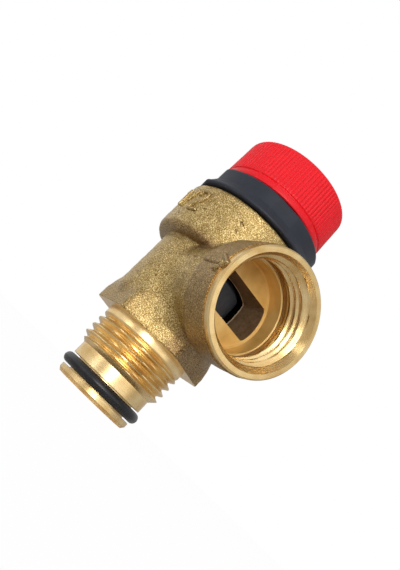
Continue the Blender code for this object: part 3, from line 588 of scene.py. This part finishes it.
CELL = 0.30
points, faces = skin_of(forging, (-17.0, -17.0, -0.8), (REACH + 0.8, 17.0, RIM_Z + 1.0), CELL)
body = shown("body_forging", mesh_of("body_forging", points, faces))
carved(body, [
    ("UNION", inlet), ("DIFFERENCE", mouth_cut), ("UNION", marks), ("DIFFERENCE", pits),
    ("DIFFERENCE", bore_cut), ("DIFFERENCE", socket_cut), ("DIFFERENCE", window_cut),
])


def grain_group(name):
    """Group: fine and coarse noise on Object coordinates, as a height and a tone."""
    group = bpy.data.node_groups.new(name, "ShaderNodeTree")
    for label, value in (("Scale", 2600.0), ("Coarse", 0.35)):
        socket = group.interface.new_socket(label, in_out="INPUT", socket_type="NodeSocketFloat")
        socket.default_value = value
    for label in ("Height", "Tone"):
        group.interface.new_socket(label, in_out="OUTPUT", socket_type="NodeSocketFloat")
    inside = group.nodes.new("NodeGroupInput")
    outside = group.nodes.new("NodeGroupOutput")
    place = group.nodes.new("ShaderNodeTexCoord")
    fine = group.nodes.new("ShaderNodeTexNoise")
    fine.inputs["Detail"].default_value = 3.0
    fine.inputs["Roughness"].default_value = 0.6
    broad = group.nodes.new("ShaderNodeTexNoise")
    broad.inputs["Detail"].default_value = 4.0
    for noise in (fine, broad):
        link(group, place.outputs["Object"], noise.inputs["Vector"])
    link(group, inside.outputs["Scale"], fine.inputs["Scale"])
    broad_scale = reckoned(group, "MULTIPLY", inside.outputs["Scale"], 0.13)
    link(group, broad_scale, broad.inputs["Scale"])
    both = group.nodes.new("ShaderNodeMix")
    link(group, inside.outputs["Coarse"], both.inputs["Factor"])
    link(group, fine.outputs["Fac"], both.inputs["A"])
    link(group, broad.outputs["Fac"], both.inputs["B"])
    link(group, both.outputs["Result"], outside.inputs["Height"])
    link(group, broad.outputs["Fac"], outside.inputs["Tone"])
    return group


grain = grain_group("blasted_grain")


def principled(name, roughness, metallic=0.0, **sockets):
    """New material with a Principled shader; returns it, its tree and the shader."""
    material = bpy.data.materials.new(name)
    material.use_nodes = True
    shader = material.node_tree.nodes["Principled BSDF"]
    shader.inputs["Roughness"].default_value = roughness
    shader.inputs["Metallic"].default_value = metallic
    for label, value in sockets.items():
        shader.inputs[label.replace("_", " ")].default_value = value
    return material, material.node_tree, shader


def placed(tree, group, **values):
    """A node group in a tree, with its own input values."""
    node = tree.nodes.new("ShaderNodeGroup")
    node.node_tree = group
    for label, value in values.items():
        node.inputs[label.replace("_", " ")].default_value = value
    return node


def ramp_of(tree, source, *stops):
    """Colour ramp with (position, (r, g, b)) stops on a value."""
    node = tree.nodes.new("ShaderNodeValToRGB")
    ramp = node.color_ramp
    while len(ramp.elements) < len(stops):
        ramp.elements.new(0.5)
    for element, (position, colour) in zip(ramp.elements, stops):
        element.position, element.color = position, (*colour, 1.0)
    link(tree, source, node.inputs["Fac"])
    return node.outputs["Color"]


def coloured(tree, shader, source, *stops):
    """Base colour from a ramp on a value."""
    link(tree, ramp_of(tree, source, *stops), shader.inputs["Base Color"])


def scaled(tree, source, low, high, start, end):
    """Maps start..end of a value to low..high."""
    node = tree.nodes.new("ShaderNodeMapRange")
    node.inputs["From Min"].default_value, node.inputs["From Max"].default_value = start, end
    node.inputs["To Min"].default_value, node.inputs["To Max"].default_value = low, high
    link(tree, source, node.inputs["Value"])
    return node.outputs["Result"]


def roughened(tree, shader, source, low, high):
    """Roughness from low to high with the middle stretch of a noise."""
    link(tree, scaled(tree, source, low, high, 0.3, 0.7), shader.inputs["Roughness"])


def bumped(tree, shader, height, distance, strength):
    """Bump of a real height in metres on the shader's normal."""
    bump = tree.nodes.new("ShaderNodeBump")
    bump.inputs["Strength"].default_value = strength
    bump.inputs["Distance"].default_value = distance
    link(tree, height, bump.inputs["Height"])
    link(tree, bump.outputs["Normal"], shader.inputs["Normal"])


forged, tree, shader = principled("forged_brass", 0.45, 0.75, Coat_Weight=0.03, Coat_Roughness=0.35)
blasted = placed(tree, grain, Scale=5200.0, Coarse=0.12)
shade = scaled(tree, blasted.outputs["Height"], 0.0, 1.0, 0.37, 0.63)
unshaded_brass = ramp_of(
    tree, shade, (0.0, (0.13, 0.075, 0.020)), (0.35, (0.30, 0.192, 0.055)),
    (0.65, (0.47, 0.32, 0.102)), (1.0, (0.95, 0.76, 0.40)),
)
# Painted shade: the skin turns to this browner ramp by a per-point amount, most in the recess under
# the bell, under the boss and on its flank.
shaded_brown = ramp_of(
    tree, shade, (0.0, (0.080, 0.040, 0.013)), (0.4, (0.185, 0.102, 0.036)),
    (0.7, (0.28, 0.165, 0.062)), (1.0, (0.46, 0.30, 0.13)),
)
shade_attribute = tree.nodes.new("ShaderNodeAttribute")
shade_attribute.attribute_name = "painted_shade"
link(tree, mixed(tree, shade_attribute.outputs["Fac"], unshaded_brass, shaded_brown), shader.inputs["Base Color"])
roughened(tree, shader, blasted.outputs["Tone"], 0.34, 0.46)
bumped(tree, shader, blasted.outputs["Height"], 0.000075, 1.0)


def lines_group(name):
    """Group: fine rings of a turned surface as a height and a tone, from a distance
    along the axis and a distance from it, both in metres."""
    group = bpy.data.node_groups.new(name, "ShaderNodeTree")
    for label in ("Along", "Out"):
        group.interface.new_socket(label, in_out="INPUT", socket_type="NodeSocketFloat")
    for label in ("Height", "Tone"):
        group.interface.new_socket(label, in_out="OUTPUT", socket_type="NodeSocketFloat")
    inside = group.nodes.new("NodeGroupInput")
    outside = group.nodes.new("NodeGroupOutput")
    place = group.nodes.new("ShaderNodeTexCoord")
    lines = group.nodes.new("ShaderNodeTexNoise")
    lines.noise_dimensions = "1D"
    lines.inputs["Scale"].default_value = 5200.0
    lines.inputs["Detail"].default_value = 2.0
    both = reckoned(group, "ADD", inside.outputs["Along"], inside.outputs["Out"])
    link(group, both, lines.inputs["W"])
    cloud = group.nodes.new("ShaderNodeTexNoise")
    cloud.inputs["Scale"].default_value = 260.0
    cloud.inputs["Detail"].default_value = 5.0
    link(group, place.outputs["Object"], cloud.inputs["Vector"])
    link(group, lines.outputs["Fac"], outside.inputs["Height"])
    link(group, cloud.outputs["Fac"], outside.inputs["Tone"])
    return group


rings = lines_group("turning_lines")


def turned_brass(name, about_outlet, colours, roughness, metallic=1.0):
    """Bright turned brass with rings about the outlet's axis or about the stem's."""
    material, tree, shader = principled(name, roughness, metallic)
    place = tree.nodes.new("ShaderNodeTexCoord")
    centred = tree.nodes.new("ShaderNodeMapping")
    centred.inputs["Location"].default_value = (0, 0, -OUTLET_Z * MM if about_outlet else 0)
    link(tree, place.outputs["Object"], centred.inputs["Vector"])
    split = tree.nodes.new("ShaderNodeSeparateXYZ")
    link(tree, centred.outputs["Vector"], split.inputs[0])
    flat = tree.nodes.new("ShaderNodeCombineXYZ")
    along, first, second = ("X", "Y", "Z") if about_outlet else ("Z", "X", "Y")
    link(tree, split.outputs[first], flat.inputs["X"])
    link(tree, split.outputs[second], flat.inputs["Y"])
    out = tree.nodes.new("ShaderNodeVectorMath")
    out.operation = "LENGTH"
    link(tree, flat.outputs[0], out.inputs[0])
    cut = placed(tree, rings)
    link(tree, split.outputs[along], cut.inputs["Along"])
    link(tree, out.outputs["Value"], cut.inputs["Out"])
    coloured(tree, shader, cut.outputs["Tone"], *colours)
    roughened(tree, shader, cut.outputs["Height"], roughness - 0.05, roughness + 0.08)
    bumped(tree, shader, cut.outputs["Height"], 0.000007, 0.8)
    return material


BRIGHT = ((0.30, (0.68, 0.45, 0.18)), (0.5, (0.82, 0.59, 0.28)), (0.7, (0.90, 0.70, 0.38)))
BORED = ((0.30, (0.70, 0.42, 0.11)), (0.5, (0.84, 0.53, 0.16)), (0.7, (0.90, 0.62, 0.22)))
GOLD = ((0.30, (0.58, 0.37, 0.14)), (0.5, (0.71, 0.50, 0.22)), (0.7, (0.80, 0.61, 0.31)))
turned_inlet = turned_brass("turned_inlet_brass", False, BRIGHT, 0.28)
turned_outlet = turned_brass("turned_outlet_brass", True, GOLD, 0.26, 0.9)
bored_outlet = turned_brass("bored_outlet_brass", True, BORED, 0.36, 0.20)

window_wall, tree, shader = principled("pierced_brass", 0.62, 0.5)
torn = placed(tree, grain, Scale=1500.0, Coarse=0.5)
rough_tone = ramp_of(
    tree, torn.outputs["Height"], (0.35, (0.17, 0.10, 0.045)), (0.65, (0.31, 0.20, 0.105))
)
place = tree.nodes.new("ShaderNodeTexCoord")
flat = tree.nodes.new("ShaderNodeMapping")
flat.inputs["Scale"].default_value = (1, 1, 0)
link(tree, place.outputs["Object"], flat.inputs["Vector"])
reach = tree.nodes.new("ShaderNodeVectorMath")
reach.operation = "LENGTH"
link(tree, flat.outputs["Vector"], reach.inputs[0])
# Painted highlight: a thin pale line along the wall's inner edge where it meets the chamber.
edge_highlight = scaled(
    tree, reach.outputs["Value"], 1.0, 0.0, (CHAMBER + 0.12) * MM, (CHAMBER + 0.32) * MM
)
link(tree, mixed(tree, edge_highlight, rough_tone, (1.0, 0.78, 0.50)), shader.inputs["Base Color"])
bumped(tree, shader, torn.outputs["Height"], 0.00010, 0.8)


SKIN, ABOUT_STEM, ABOUT_OUTLET, PIERCED, BORED_OUT = range(5)


def finish_faces(mesh):
    """Gives each face its finish from where its middle lies: skin of the forging, turned
    about the stem or about the outlet, wall of the window, or bore of the socket."""
    middle = np.empty(len(mesh.polygons) * 3)
    mesh.polygons.foreach_get("center", middle)
    middle = middle.reshape(-1, 3) / MM
    x, y, z = middle.T
    across, out = np.hypot(y, z - OUTLET_Z), np.hypot(x, y)
    finish = np.full(len(middle), ABOUT_STEM)
    finish[(x > BOTTOM_X - 0.05) & (across < 11.3)] = ABOUT_OUTLET
    finish[np.abs(forging(middle)) < 0.62] = SKIN
    finish[(across < MOUTH + 0.05) & (x > BAND_X - 0.05)] = ABOUT_OUTLET
    finish[(x > BOTTOM_X - 0.05) & (x < BORE_END_X) & (across < CORE + 0.2)] = BORED_OUT
    finish[z < 0.03] = ABOUT_STEM
    finish[(z > RIM_Z - 0.03) & (out > SLEEVE + 0.1)] = ABOUT_STEM
    outside_chamber = (out > CHAMBER + 0.04) & (z < SLEEVE_Z)
    finish[outside_chamber & (x > 7.0) & (x < BOTTOM_X - 0.03) & (across < 9.3)] = PIERCED
    mesh.polygons.foreach_set("material_index", finish.astype(np.int32))
    mesh.update()


def painted_shade(mesh):
    """Stores painted shade at each point of the blasted skin, as how far it turns browner: most in
    the recess under the bell beside the boss, then under the boss and on its flank, least low on the
    foot's -Y side."""
    place = np.empty(len(mesh.vertices) * 3)
    mesh.vertices.foreach_get("co", place)
    x, y, z = place.reshape(-1, 3).T / MM
    out, across = np.hypot(x, y), np.hypot(y, z - OUTLET_Z)
    degrees = np.degrees(np.arctan2(y, x))
    beside = 0.5 + 0.5 * np.exp(-(((np.abs(degrees) - 50) / 22) ** 2))
    recess = beside * np.exp(-(((z - BELL_FOOT - 0.2) / 1.25) ** 2)) * eased((out - 12.7) / 0.7)
    flank = 0.6 * eased((x - BOSS_BACK + 1.0) / 0.9) * eased((BOSS + 0.6 - across) / 0.3)
    below = 0.8 * eased((degrees + 17) / 8) * eased((75 - degrees) / 30) * eased((9.5 - z) / 4.0)
    toe = 0.3 * eased((-38 - degrees) / 20) * eased((degrees + 140) / 20) * eased((6.5 - z) / 3)
    amount = np.clip(np.max([recess, flank, below, toe], axis=0), 0, 1)
    layer = mesh.attributes.new("painted_shade", "FLOAT", "POINT")
    layer.data.foreach_set("value", amount.astype(np.float32))


# In the order of the finish numbers.
body.data.materials.clear()
for material in (forged, turned_inlet, turned_outlet, window_wall, bored_outlet):
    body.data.materials.append(material)
finish_faces(body.data)
painted_shade(body.data)
body.data.shade_smooth()
body.data.set_sharp_from_angle(angle=math.radians(38))
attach(body, "housing")
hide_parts("valve_body")

# ---------------------------------------------------------------- O-ring on the spigot
# Black rubber ring in the spigot's groove, moulded in two halves, so a thin flash
# line runs round its outside. It stands a little proud and seals in the port.

ring_low, ring_high = (np.array(corner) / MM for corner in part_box("inlet_o_ring"))
section_radius = (ring_high[2] - ring_low[2]) / 2
middle_z = (ring_high[2] + ring_low[2]) / 2
centre = ring_high[0] - section_radius
FLASH = 0.03
lap = np.linspace(0, 2 * math.pi, 40, endpoint=False)[:, None]
turn = np.linspace(0, 2 * math.pi, 192, endpoint=False)[None, :]
bulge = section_radius * (1 - 0.012 * np.sin(3 * turn + 0.6))
radius = centre + (bulge - FLASH - 0.012 * np.abs(np.sin(5 * turn))) * np.cos(lap)
from_seam = np.minimum(lap, 2 * math.pi - lap)
flash = FLASH * np.exp(-((from_seam / 0.05) ** 2))
height = middle_z + bulge * np.sin(lap)
o_ring = shown("o_ring", mesh_of("o_ring", *round_about(radius + flash, height, closed=True)))

rubber, tree, shader = principled("black_rubber", 0.30, 0.0, Specular_IOR_Level=0.42)
skin = placed(tree, grain, Scale=1800.0, Coarse=0.4)
coloured(
    tree, shader, skin.outputs["Tone"], (0.3, (0.006, 0.006, 0.008)), (0.7, (0.013, 0.013, 0.016))
)
roughened(tree, shader, skin.outputs["Tone"], 0.24, 0.46)
bumped(tree, shader, skin.outputs["Height"], 0.00002, 0.6)
o_ring.data.materials.append(rubber)
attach(o_ring, "housing")
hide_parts("inlet_o_ring")

# ---------------------------------------------------------------- bonnet
# Slate-black moulded cover screwed into the bell: sleeve, flange, collar with two
# spanner flats and two shallow grip facets, then the neck with four cams on its end.

bonnet_low, bonnet_high = (np.array(corner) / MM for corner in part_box("bonnet"))
FLANGE_Z = RIM_Z + 0.3
FLANGE, COLLAR, FLAT_DEPTH = 16.76, 15.3, 1.3
COLLAR_FOOT, COLLAR_TOP = FLANGE_Z + 2.6, FLANGE_Z + 6.2
FLANGE_ROUND, COLLAR_ROUND = 0.45, 0.85
CAM_Z, CAM_CLIMB, CAM_INNER, CAM_OUTER = 42.5, 1.6, 9.15, 10.95
BONNET_STEPS = 288
about = np.linspace(0, 360, BONNET_STEPS, endpoint=False)[None, :]


def flatted(radius, depth):
    """Radius round a turned part with two flats of a depth, square to 71.5 degrees."""
    off = np.radians(np.mod(about - 71.5 + 90, 180) - 90)
    flat = (radius - depth) / np.maximum(np.cos(off), 0.5)
    sharpness = 18.0
    return -np.logaddexp(-radius * sharpness, -flat * sharpness) / sharpness


def faceted(radius, depth):
    """Radius with two shallow facets of a depth, square to -18 degrees."""
    off = np.radians(np.mod(about + 18.0 + 90, 180) - 90)
    return np.minimum(radius, (radius - depth) / np.maximum(np.cos(off), 0.5))


def rounded_corner(count, start, end):
    """Pairs of cosine and sine of count angles from start to end degrees."""
    angle = np.radians(np.linspace(start, end, count))
    return list(zip(np.cos(angle), np.sin(angle)))


rows_r, rows_z = [], []


def add_row(radius, height):
    """One more row of the bonnet's outline, its radius a number or one per step."""
    rows_r.append(np.broadcast_to(np.asarray(radius, float), (1, BONNET_STEPS)))
    rows_z.append(np.full((1, BONNET_STEPS), float(height)))


for radius, height in ((9.9, 25.2), (13.0, 25.2), (13.3, 25.5), (13.3, FLANGE_Z)):
    add_row(radius, height)
edge_r, edge_z = flatted(FLANGE, FLAT_DEPTH) - FLANGE_ROUND, FLANGE_Z + FLANGE_ROUND
for cosine, sine in rounded_corner(9, -90, 55):
    flange_r, flange_z = edge_r + FLANGE_ROUND * cosine, edge_z + FLANGE_ROUND * sine
    add_row(flange_r, flange_z)
foot_r = faceted(flatted(COLLAR, FLAT_DEPTH), 0.26)
for share in np.linspace(0.12, 1.0, 9):
    lean = (foot_r + 0.04 - flange_r) * share**0.82
    add_row(flange_r + lean, flange_z + (COLLAR_FOOT - flange_z) * share)
add_row(foot_r, COLLAR_FOOT + 0.1)
for cosine, sine in rounded_corner(9, 0, 90):
    add_row(foot_r - COLLAR_ROUND * (1 - cosine), COLLAR_TOP - COLLAR_ROUND * (1 - sine))
for radius, height in (
    (12.0, COLLAR_TOP), (11.4, COLLAR_TOP), (11.2, COLLAR_TOP + 0.2), (11.2, CAM_Z),
    (8.9, CAM_Z), (8.9, FLANGE_Z + 1.0), (9.9, FLANGE_Z),
):
    add_row(radius, height)
points, faces = round_about(np.concatenate(rows_r), np.concatenate(rows_z), closed=True)


def cam_crown(root, lift, lag):
    """Ring of four saw-tooth cams: a closed section carried round, from its root to the
    cam surface, which climbs over 80 of every 90 degrees and falls back over 2. A crown
    with its root above hangs from it, so its faces are turned over."""
    ramp = np.linspace(0, 80 + 90 * lag, 12)
    one = np.append(ramp, ramp[-1] + 2.0)
    climb = np.append(ramp * CAM_CLIMB / 80, 0.0)
    angle = np.radians(np.concatenate([one + 90 * k for k in range(4)]))
    top = CAM_Z + lift + np.tile(climb, 4)
    flat = np.full_like(top, root)
    radius = np.array([CAM_INNER, CAM_OUTER, CAM_OUTER, CAM_INNER])[:, None] + 0 * angle
    height = np.stack([top, top, flat, flat])
    points = np.stack([radius * np.cos(angle), radius * np.sin(angle), height], -1).reshape(-1, 3)
    number = np.arange(radius.size).reshape(radius.shape)
    above, beside = np.roll(number, -1, 0), np.roll(number, -1, 1)
    quads = np.stack([number, above, np.roll(above, -1, 1), beside], -1).reshape(-1, 4)
    return points, quads[:, ::-1] if root > top.max() else quads


def joined(*parts):
    """Several (points, faces) as one."""
    shift, all_points, all_faces = 0, [], []
    for some_points, some_faces in parts:
        all_points.append(some_points)
        all_faces.append(np.asarray(some_faces) + shift)
        shift += len(some_points)
    return np.concatenate(all_points), np.concatenate(all_faces)


points, faces = joined((points, faces), cam_crown(CAM_Z - 0.5, 0.0, 0.0))
bonnet = shown("bonnet_cover", mesh_of("bonnet_cover", points, faces, 30))

black, tree, shader = principled("slate_black_plastic", 0.5, 0.0, Specular_IOR_Level=0.30)
moulded = placed(tree, grain, Scale=3000.0, Coarse=0.5)
coloured(
    tree, shader, moulded.outputs["Tone"], (0.3, (0.018, 0.021, 0.030)), (0.7, (0.025, 0.029, 0.041))
)
roughened(tree, shader, moulded.outputs["Tone"], 0.44, 0.58)
bumped(tree, shader, moulded.outputs["Height"], 0.000012, 0.7)
bonnet.data.materials.append(black)
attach(bonnet, "housing")
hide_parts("bonnet")

# ---------------------------------------------------------------- knob
# Red moulded cap, 27.6 mm across, with 96 fine ribs, a plain lip below a groove, a
# hollow underside with cams, and a recess in the top that takes the cover disc.

knob_low, knob_high = (np.array(corner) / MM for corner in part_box("knob"))
KNOB_Z, KNOB_TOP = knob_low[2], knob_high[2]
KNOB, KNOB_TAPER, KNOB_ROUND = 13.8, 0.2, 0.9
RIBS, PER_RIB, RIB_DEPTH = 96, 12, 0.17
WEB_Z, HUB_Z, HUB_TOP, WEB_TOP, LEDGE_Z = 44.7, 42.8, 44.5, 46.2, 47.5
LIP_TOP, LIP_ROUND = KNOB_Z + 1.45, 0.30
spin = np.linspace(0, 2 * math.pi, RIBS * PER_RIB, endpoint=False)[None, :]
valley = (0.5 - 0.5 * np.cos(RIBS * spin)) ** 2
rows_r, rows_z = [], []


def add_knob_row(radius, height, ribbed=0.0):
    """One more row of the knob's outline, cut in by the ribs' valleys times ribbed."""
    rows_r.append(radius - RIB_DEPTH * ribbed * valley)
    rows_z.append(height + 0 * spin)


for radius, height in (
    (2.8, HUB_Z), (8.3, HUB_Z), (8.3, WEB_Z), (11.9, WEB_Z), (11.9, KNOB_Z + 0.15), (12.05, KNOB_Z),
):
    add_knob_row(radius, height)
for cosine, sine in rounded_corner(6, -90, 0):
    add_knob_row(KNOB - 0.12 - LIP_ROUND * (1 - cosine), KNOB_Z + LIP_ROUND * (1 + sine))
add_knob_row(KNOB - 0.06, LIP_TOP - 0.25)

# Five small nubs bridge the groove above the lip.
nubs = 0
for nub_turn in np.radians([-58.9, -38.4, 7.9, 98.0, 170.0]):
    away = np.angle(np.exp(1j * (spin - nub_turn))) * KNOB
    nubs = nubs + np.exp(-((away / 0.28) ** 2))
add_knob_row(KNOB - 0.22 + 0.12 * nubs, LIP_TOP)
add_knob_row(KNOB - 0.40 + 0.22 * nubs, LIP_TOP + 0.14)
add_knob_row(KNOB - 0.38 + 0.18 * nubs, LIP_TOP + 0.26)
for ribbed, out, up in ((0.0, 0.14, 0.40), (0.5, 0.092, 0.576), (1.0, 0.02, 0.84)):
    add_knob_row(KNOB - out, LIP_TOP + up, ribbed)
for height in np.linspace(LIP_TOP + 1.2, KNOB_TOP - 1.0, 8):
    add_knob_row(KNOB - KNOB_TAPER * (height - KNOB_Z) / (KNOB_TOP - KNOB_Z), height, 1.0)
fading = (1.0, 1.0, 0.9, 0.6, 0.3, 0.1, 0.0, 0.0, 0.0)
for (cosine, sine), ribbed in zip(rounded_corner(9, 0, 90), fading):
    radius = KNOB - KNOB_TAPER - KNOB_ROUND * (1 - cosine)
    add_knob_row(radius, KNOB_TOP - KNOB_ROUND * (1 - sine), ribbed)
for radius, height in (
    (11.75, KNOB_TOP), (11.6, KNOB_TOP - 0.15), (11.6, LEDGE_Z), (10.4, LEDGE_Z), (10.4, WEB_TOP),
    (7.0, WEB_TOP), (7.0, HUB_TOP), (2.8, HUB_TOP),
):
    add_knob_row(radius, height)
points, faces = round_about(np.concatenate(rows_r), np.concatenate(rows_z), closed=True)
points, faces = joined((points, faces), cam_crown(WEB_Z + 0.5, 0.3, 3.5 / 90))
knob = shown("knob_shell", mesh_of("knob_shell", points, faces, 42))

red, tree, shader = principled("red_moulded_plastic", 0.4, 0.0, Specular_IOR_Level=0.25)
moulded = placed(tree, grain, Scale=3600.0, Coarse=0.2)
coloured(
    tree, shader, moulded.outputs["Tone"], (0.3, (0.84, 0.011, 0.019)), (0.7, (0.87, 0.013, 0.022))
)
roughened(tree, shader, moulded.outputs["Tone"], 0.36, 0.46)
bumped(tree, shader, moulded.outputs["Height"], 0.000005, 0.5)
knob.data.materials.append(red)
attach(knob, "test_knob")
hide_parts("knob")

# ---------------------------------------------------------------- cover disc
# Red disc snapped into the knob's top over the screw, slightly dished in the middle.

cap_low, cap_high = (np.array(corner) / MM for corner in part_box("knob_cap"))
CAP, CAP_Z, CAP_TOP = cap_high[0], cap_low[2], cap_high[2]
outline = profile_rows([
    (0.9 * CAP, CAP_Z), (CAP, CAP_Z), (CAP, CAP_TOP - 0.3), (CAP - 0.12, CAP_TOP - 0.09),
    (CAP - 0.3, CAP_TOP), (0.78 * CAP, CAP_TOP), (0.75 * CAP, CAP_TOP - 0.25),
    (0.4 * CAP, CAP_TOP - 0.34), (0.1 * CAP, CAP_TOP - 0.38),
], 0.8)
cap = shown("cover_disc", mesh_of("cover_disc", *round_about(*repeated(outline, 144)), 30))
cap.data.materials.append(red)
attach(cap, "test_knob")
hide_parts("knob_cap")

# ---------------------------------------------------------------- soft parts inside
# Rubber diaphragm clamped by its rim, and the steel spring above it.

COIL, WIRE, COILS = 6.2, 0.85, 4.75
COIL_ROWS, WIRE_STEPS = 420, 14
spring_low, spring_high = (np.array(corner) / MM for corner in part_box("spring"))
share = np.linspace(0, 1, COIL_ROWS)[:, None]
lap = np.linspace(0, 2 * math.pi, WIRE_STEPS, endpoint=False)[None, :]
angle = 2 * math.pi * COILS * share
radius = COIL + WIRE * np.cos(lap)
low_z, high_z = spring_low[2] + WIRE, spring_high[2] - WIRE
height = low_z + (high_z - low_z) * share + WIRE * np.sin(lap)
points = np.stack([radius * np.cos(angle), radius * np.sin(angle), height], -1).reshape(-1, 3)
hubs = np.array([points[:WIRE_STEPS].mean(0), points[-WIRE_STEPS:].mean(0)])
start = np.arange(WIRE_STEPS)
end = start + len(points) - WIRE_STEPS
low, high = np.full(WIRE_STEPS, len(points)), np.full(WIRE_STEPS, len(points) + 1)
faces = np.concatenate([
    tube_sides(COIL_ROWS, WIRE_STEPS),
    np.stack([start, np.roll(start, -1), low, low], 1),
    np.stack([np.roll(end, -1), end, high, high], 1),
])
spring = shown("load_spring", mesh_of("load_spring", np.concatenate([points, hubs]), faces))

steel, tree, shader = principled("zinc_plated_steel", 0.28, 1.0)
plated = placed(tree, grain, Scale=900.0, Coarse=0.6)
coloured(
    tree, shader, plated.outputs["Tone"], (0.3, (0.50, 0.52, 0.54)), (0.7, (0.72, 0.72, 0.71))
)
roughened(tree, shader, plated.outputs["Tone"], 0.20, 0.40)
bumped(tree, shader, plated.outputs["Height"], 0.000008, 0.6)
spring.data.materials.append(steel)
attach(spring, "housing")
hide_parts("spring")
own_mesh(spring)

outline = profile_rows([
    (2.8, 20.2), (7.9, 20.2), (8.25, 20.3), (8.6, 20.75), (9.4, 21.9), (9.7, 22.22),
    (10.0, 22.3), (13.3, 22.3), (13.3, 23.8), (9.75, 23.8), (9.4, 23.6), (8.3, 21.7),
    (8.0, 21.42), (7.7, 21.4), (2.8, 21.4),
], 0.6)
points, faces = round_about(*repeated(outline, 120), closed=True)
diaphragm = shown("diaphragm_disc", mesh_of("diaphragm_disc", points, faces, 40))
diaphragm.data.materials.append(rubber)
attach(diaphragm, "housing")
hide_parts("diaphragm")
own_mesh(diaphragm)

# ---------------------------------------------------------------- stem set and fixings
# Turned brass stem and adjuster, plated washers, screws, plate and slip ring, the
# black moulded holder and its rubber seat disc keep their CAD shapes.

grey, tree, shader = principled("dark_grey_plastic", 0.45, 0.0, Specular_IOR_Level=0.3)
moulded = placed(tree, grain, Scale=3000.0, Coarse=0.5)
coloured(
    tree, shader, moulded.outputs["Tone"], (0.3, (0.060, 0.070, 0.085)), (0.7, (0.075, 0.085, 0.10))
)
bumped(tree, shader, moulded.outputs["Height"], 0.000012, 0.7)

stem_brass = turned_brass("turned_stem_brass", False, BRIGHT, 0.26)

# Every CAD piece gets its look, also where a piece modelled above stands in for it.
for material, names in (
    (forged, ("valve_body",)),
    (stem_brass, ("stem", "spring_adjuster")),
    (steel, ("disc_washer", "disc_screw", "slip_ring", "lower_spring_plate", "spring")),
    (steel, ("knob_washer", "knob_screw")),
    (rubber, ("seat_disc", "inlet_o_ring", "diaphragm")),
    (grey, ("disc_holder",)),
    (black, ("bonnet",)),
    (red, ("knob", "knob_cap")),
):
    for name in names:
        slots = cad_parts[name].data.materials
        slots.clear()
        slots.append(material)

low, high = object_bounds()
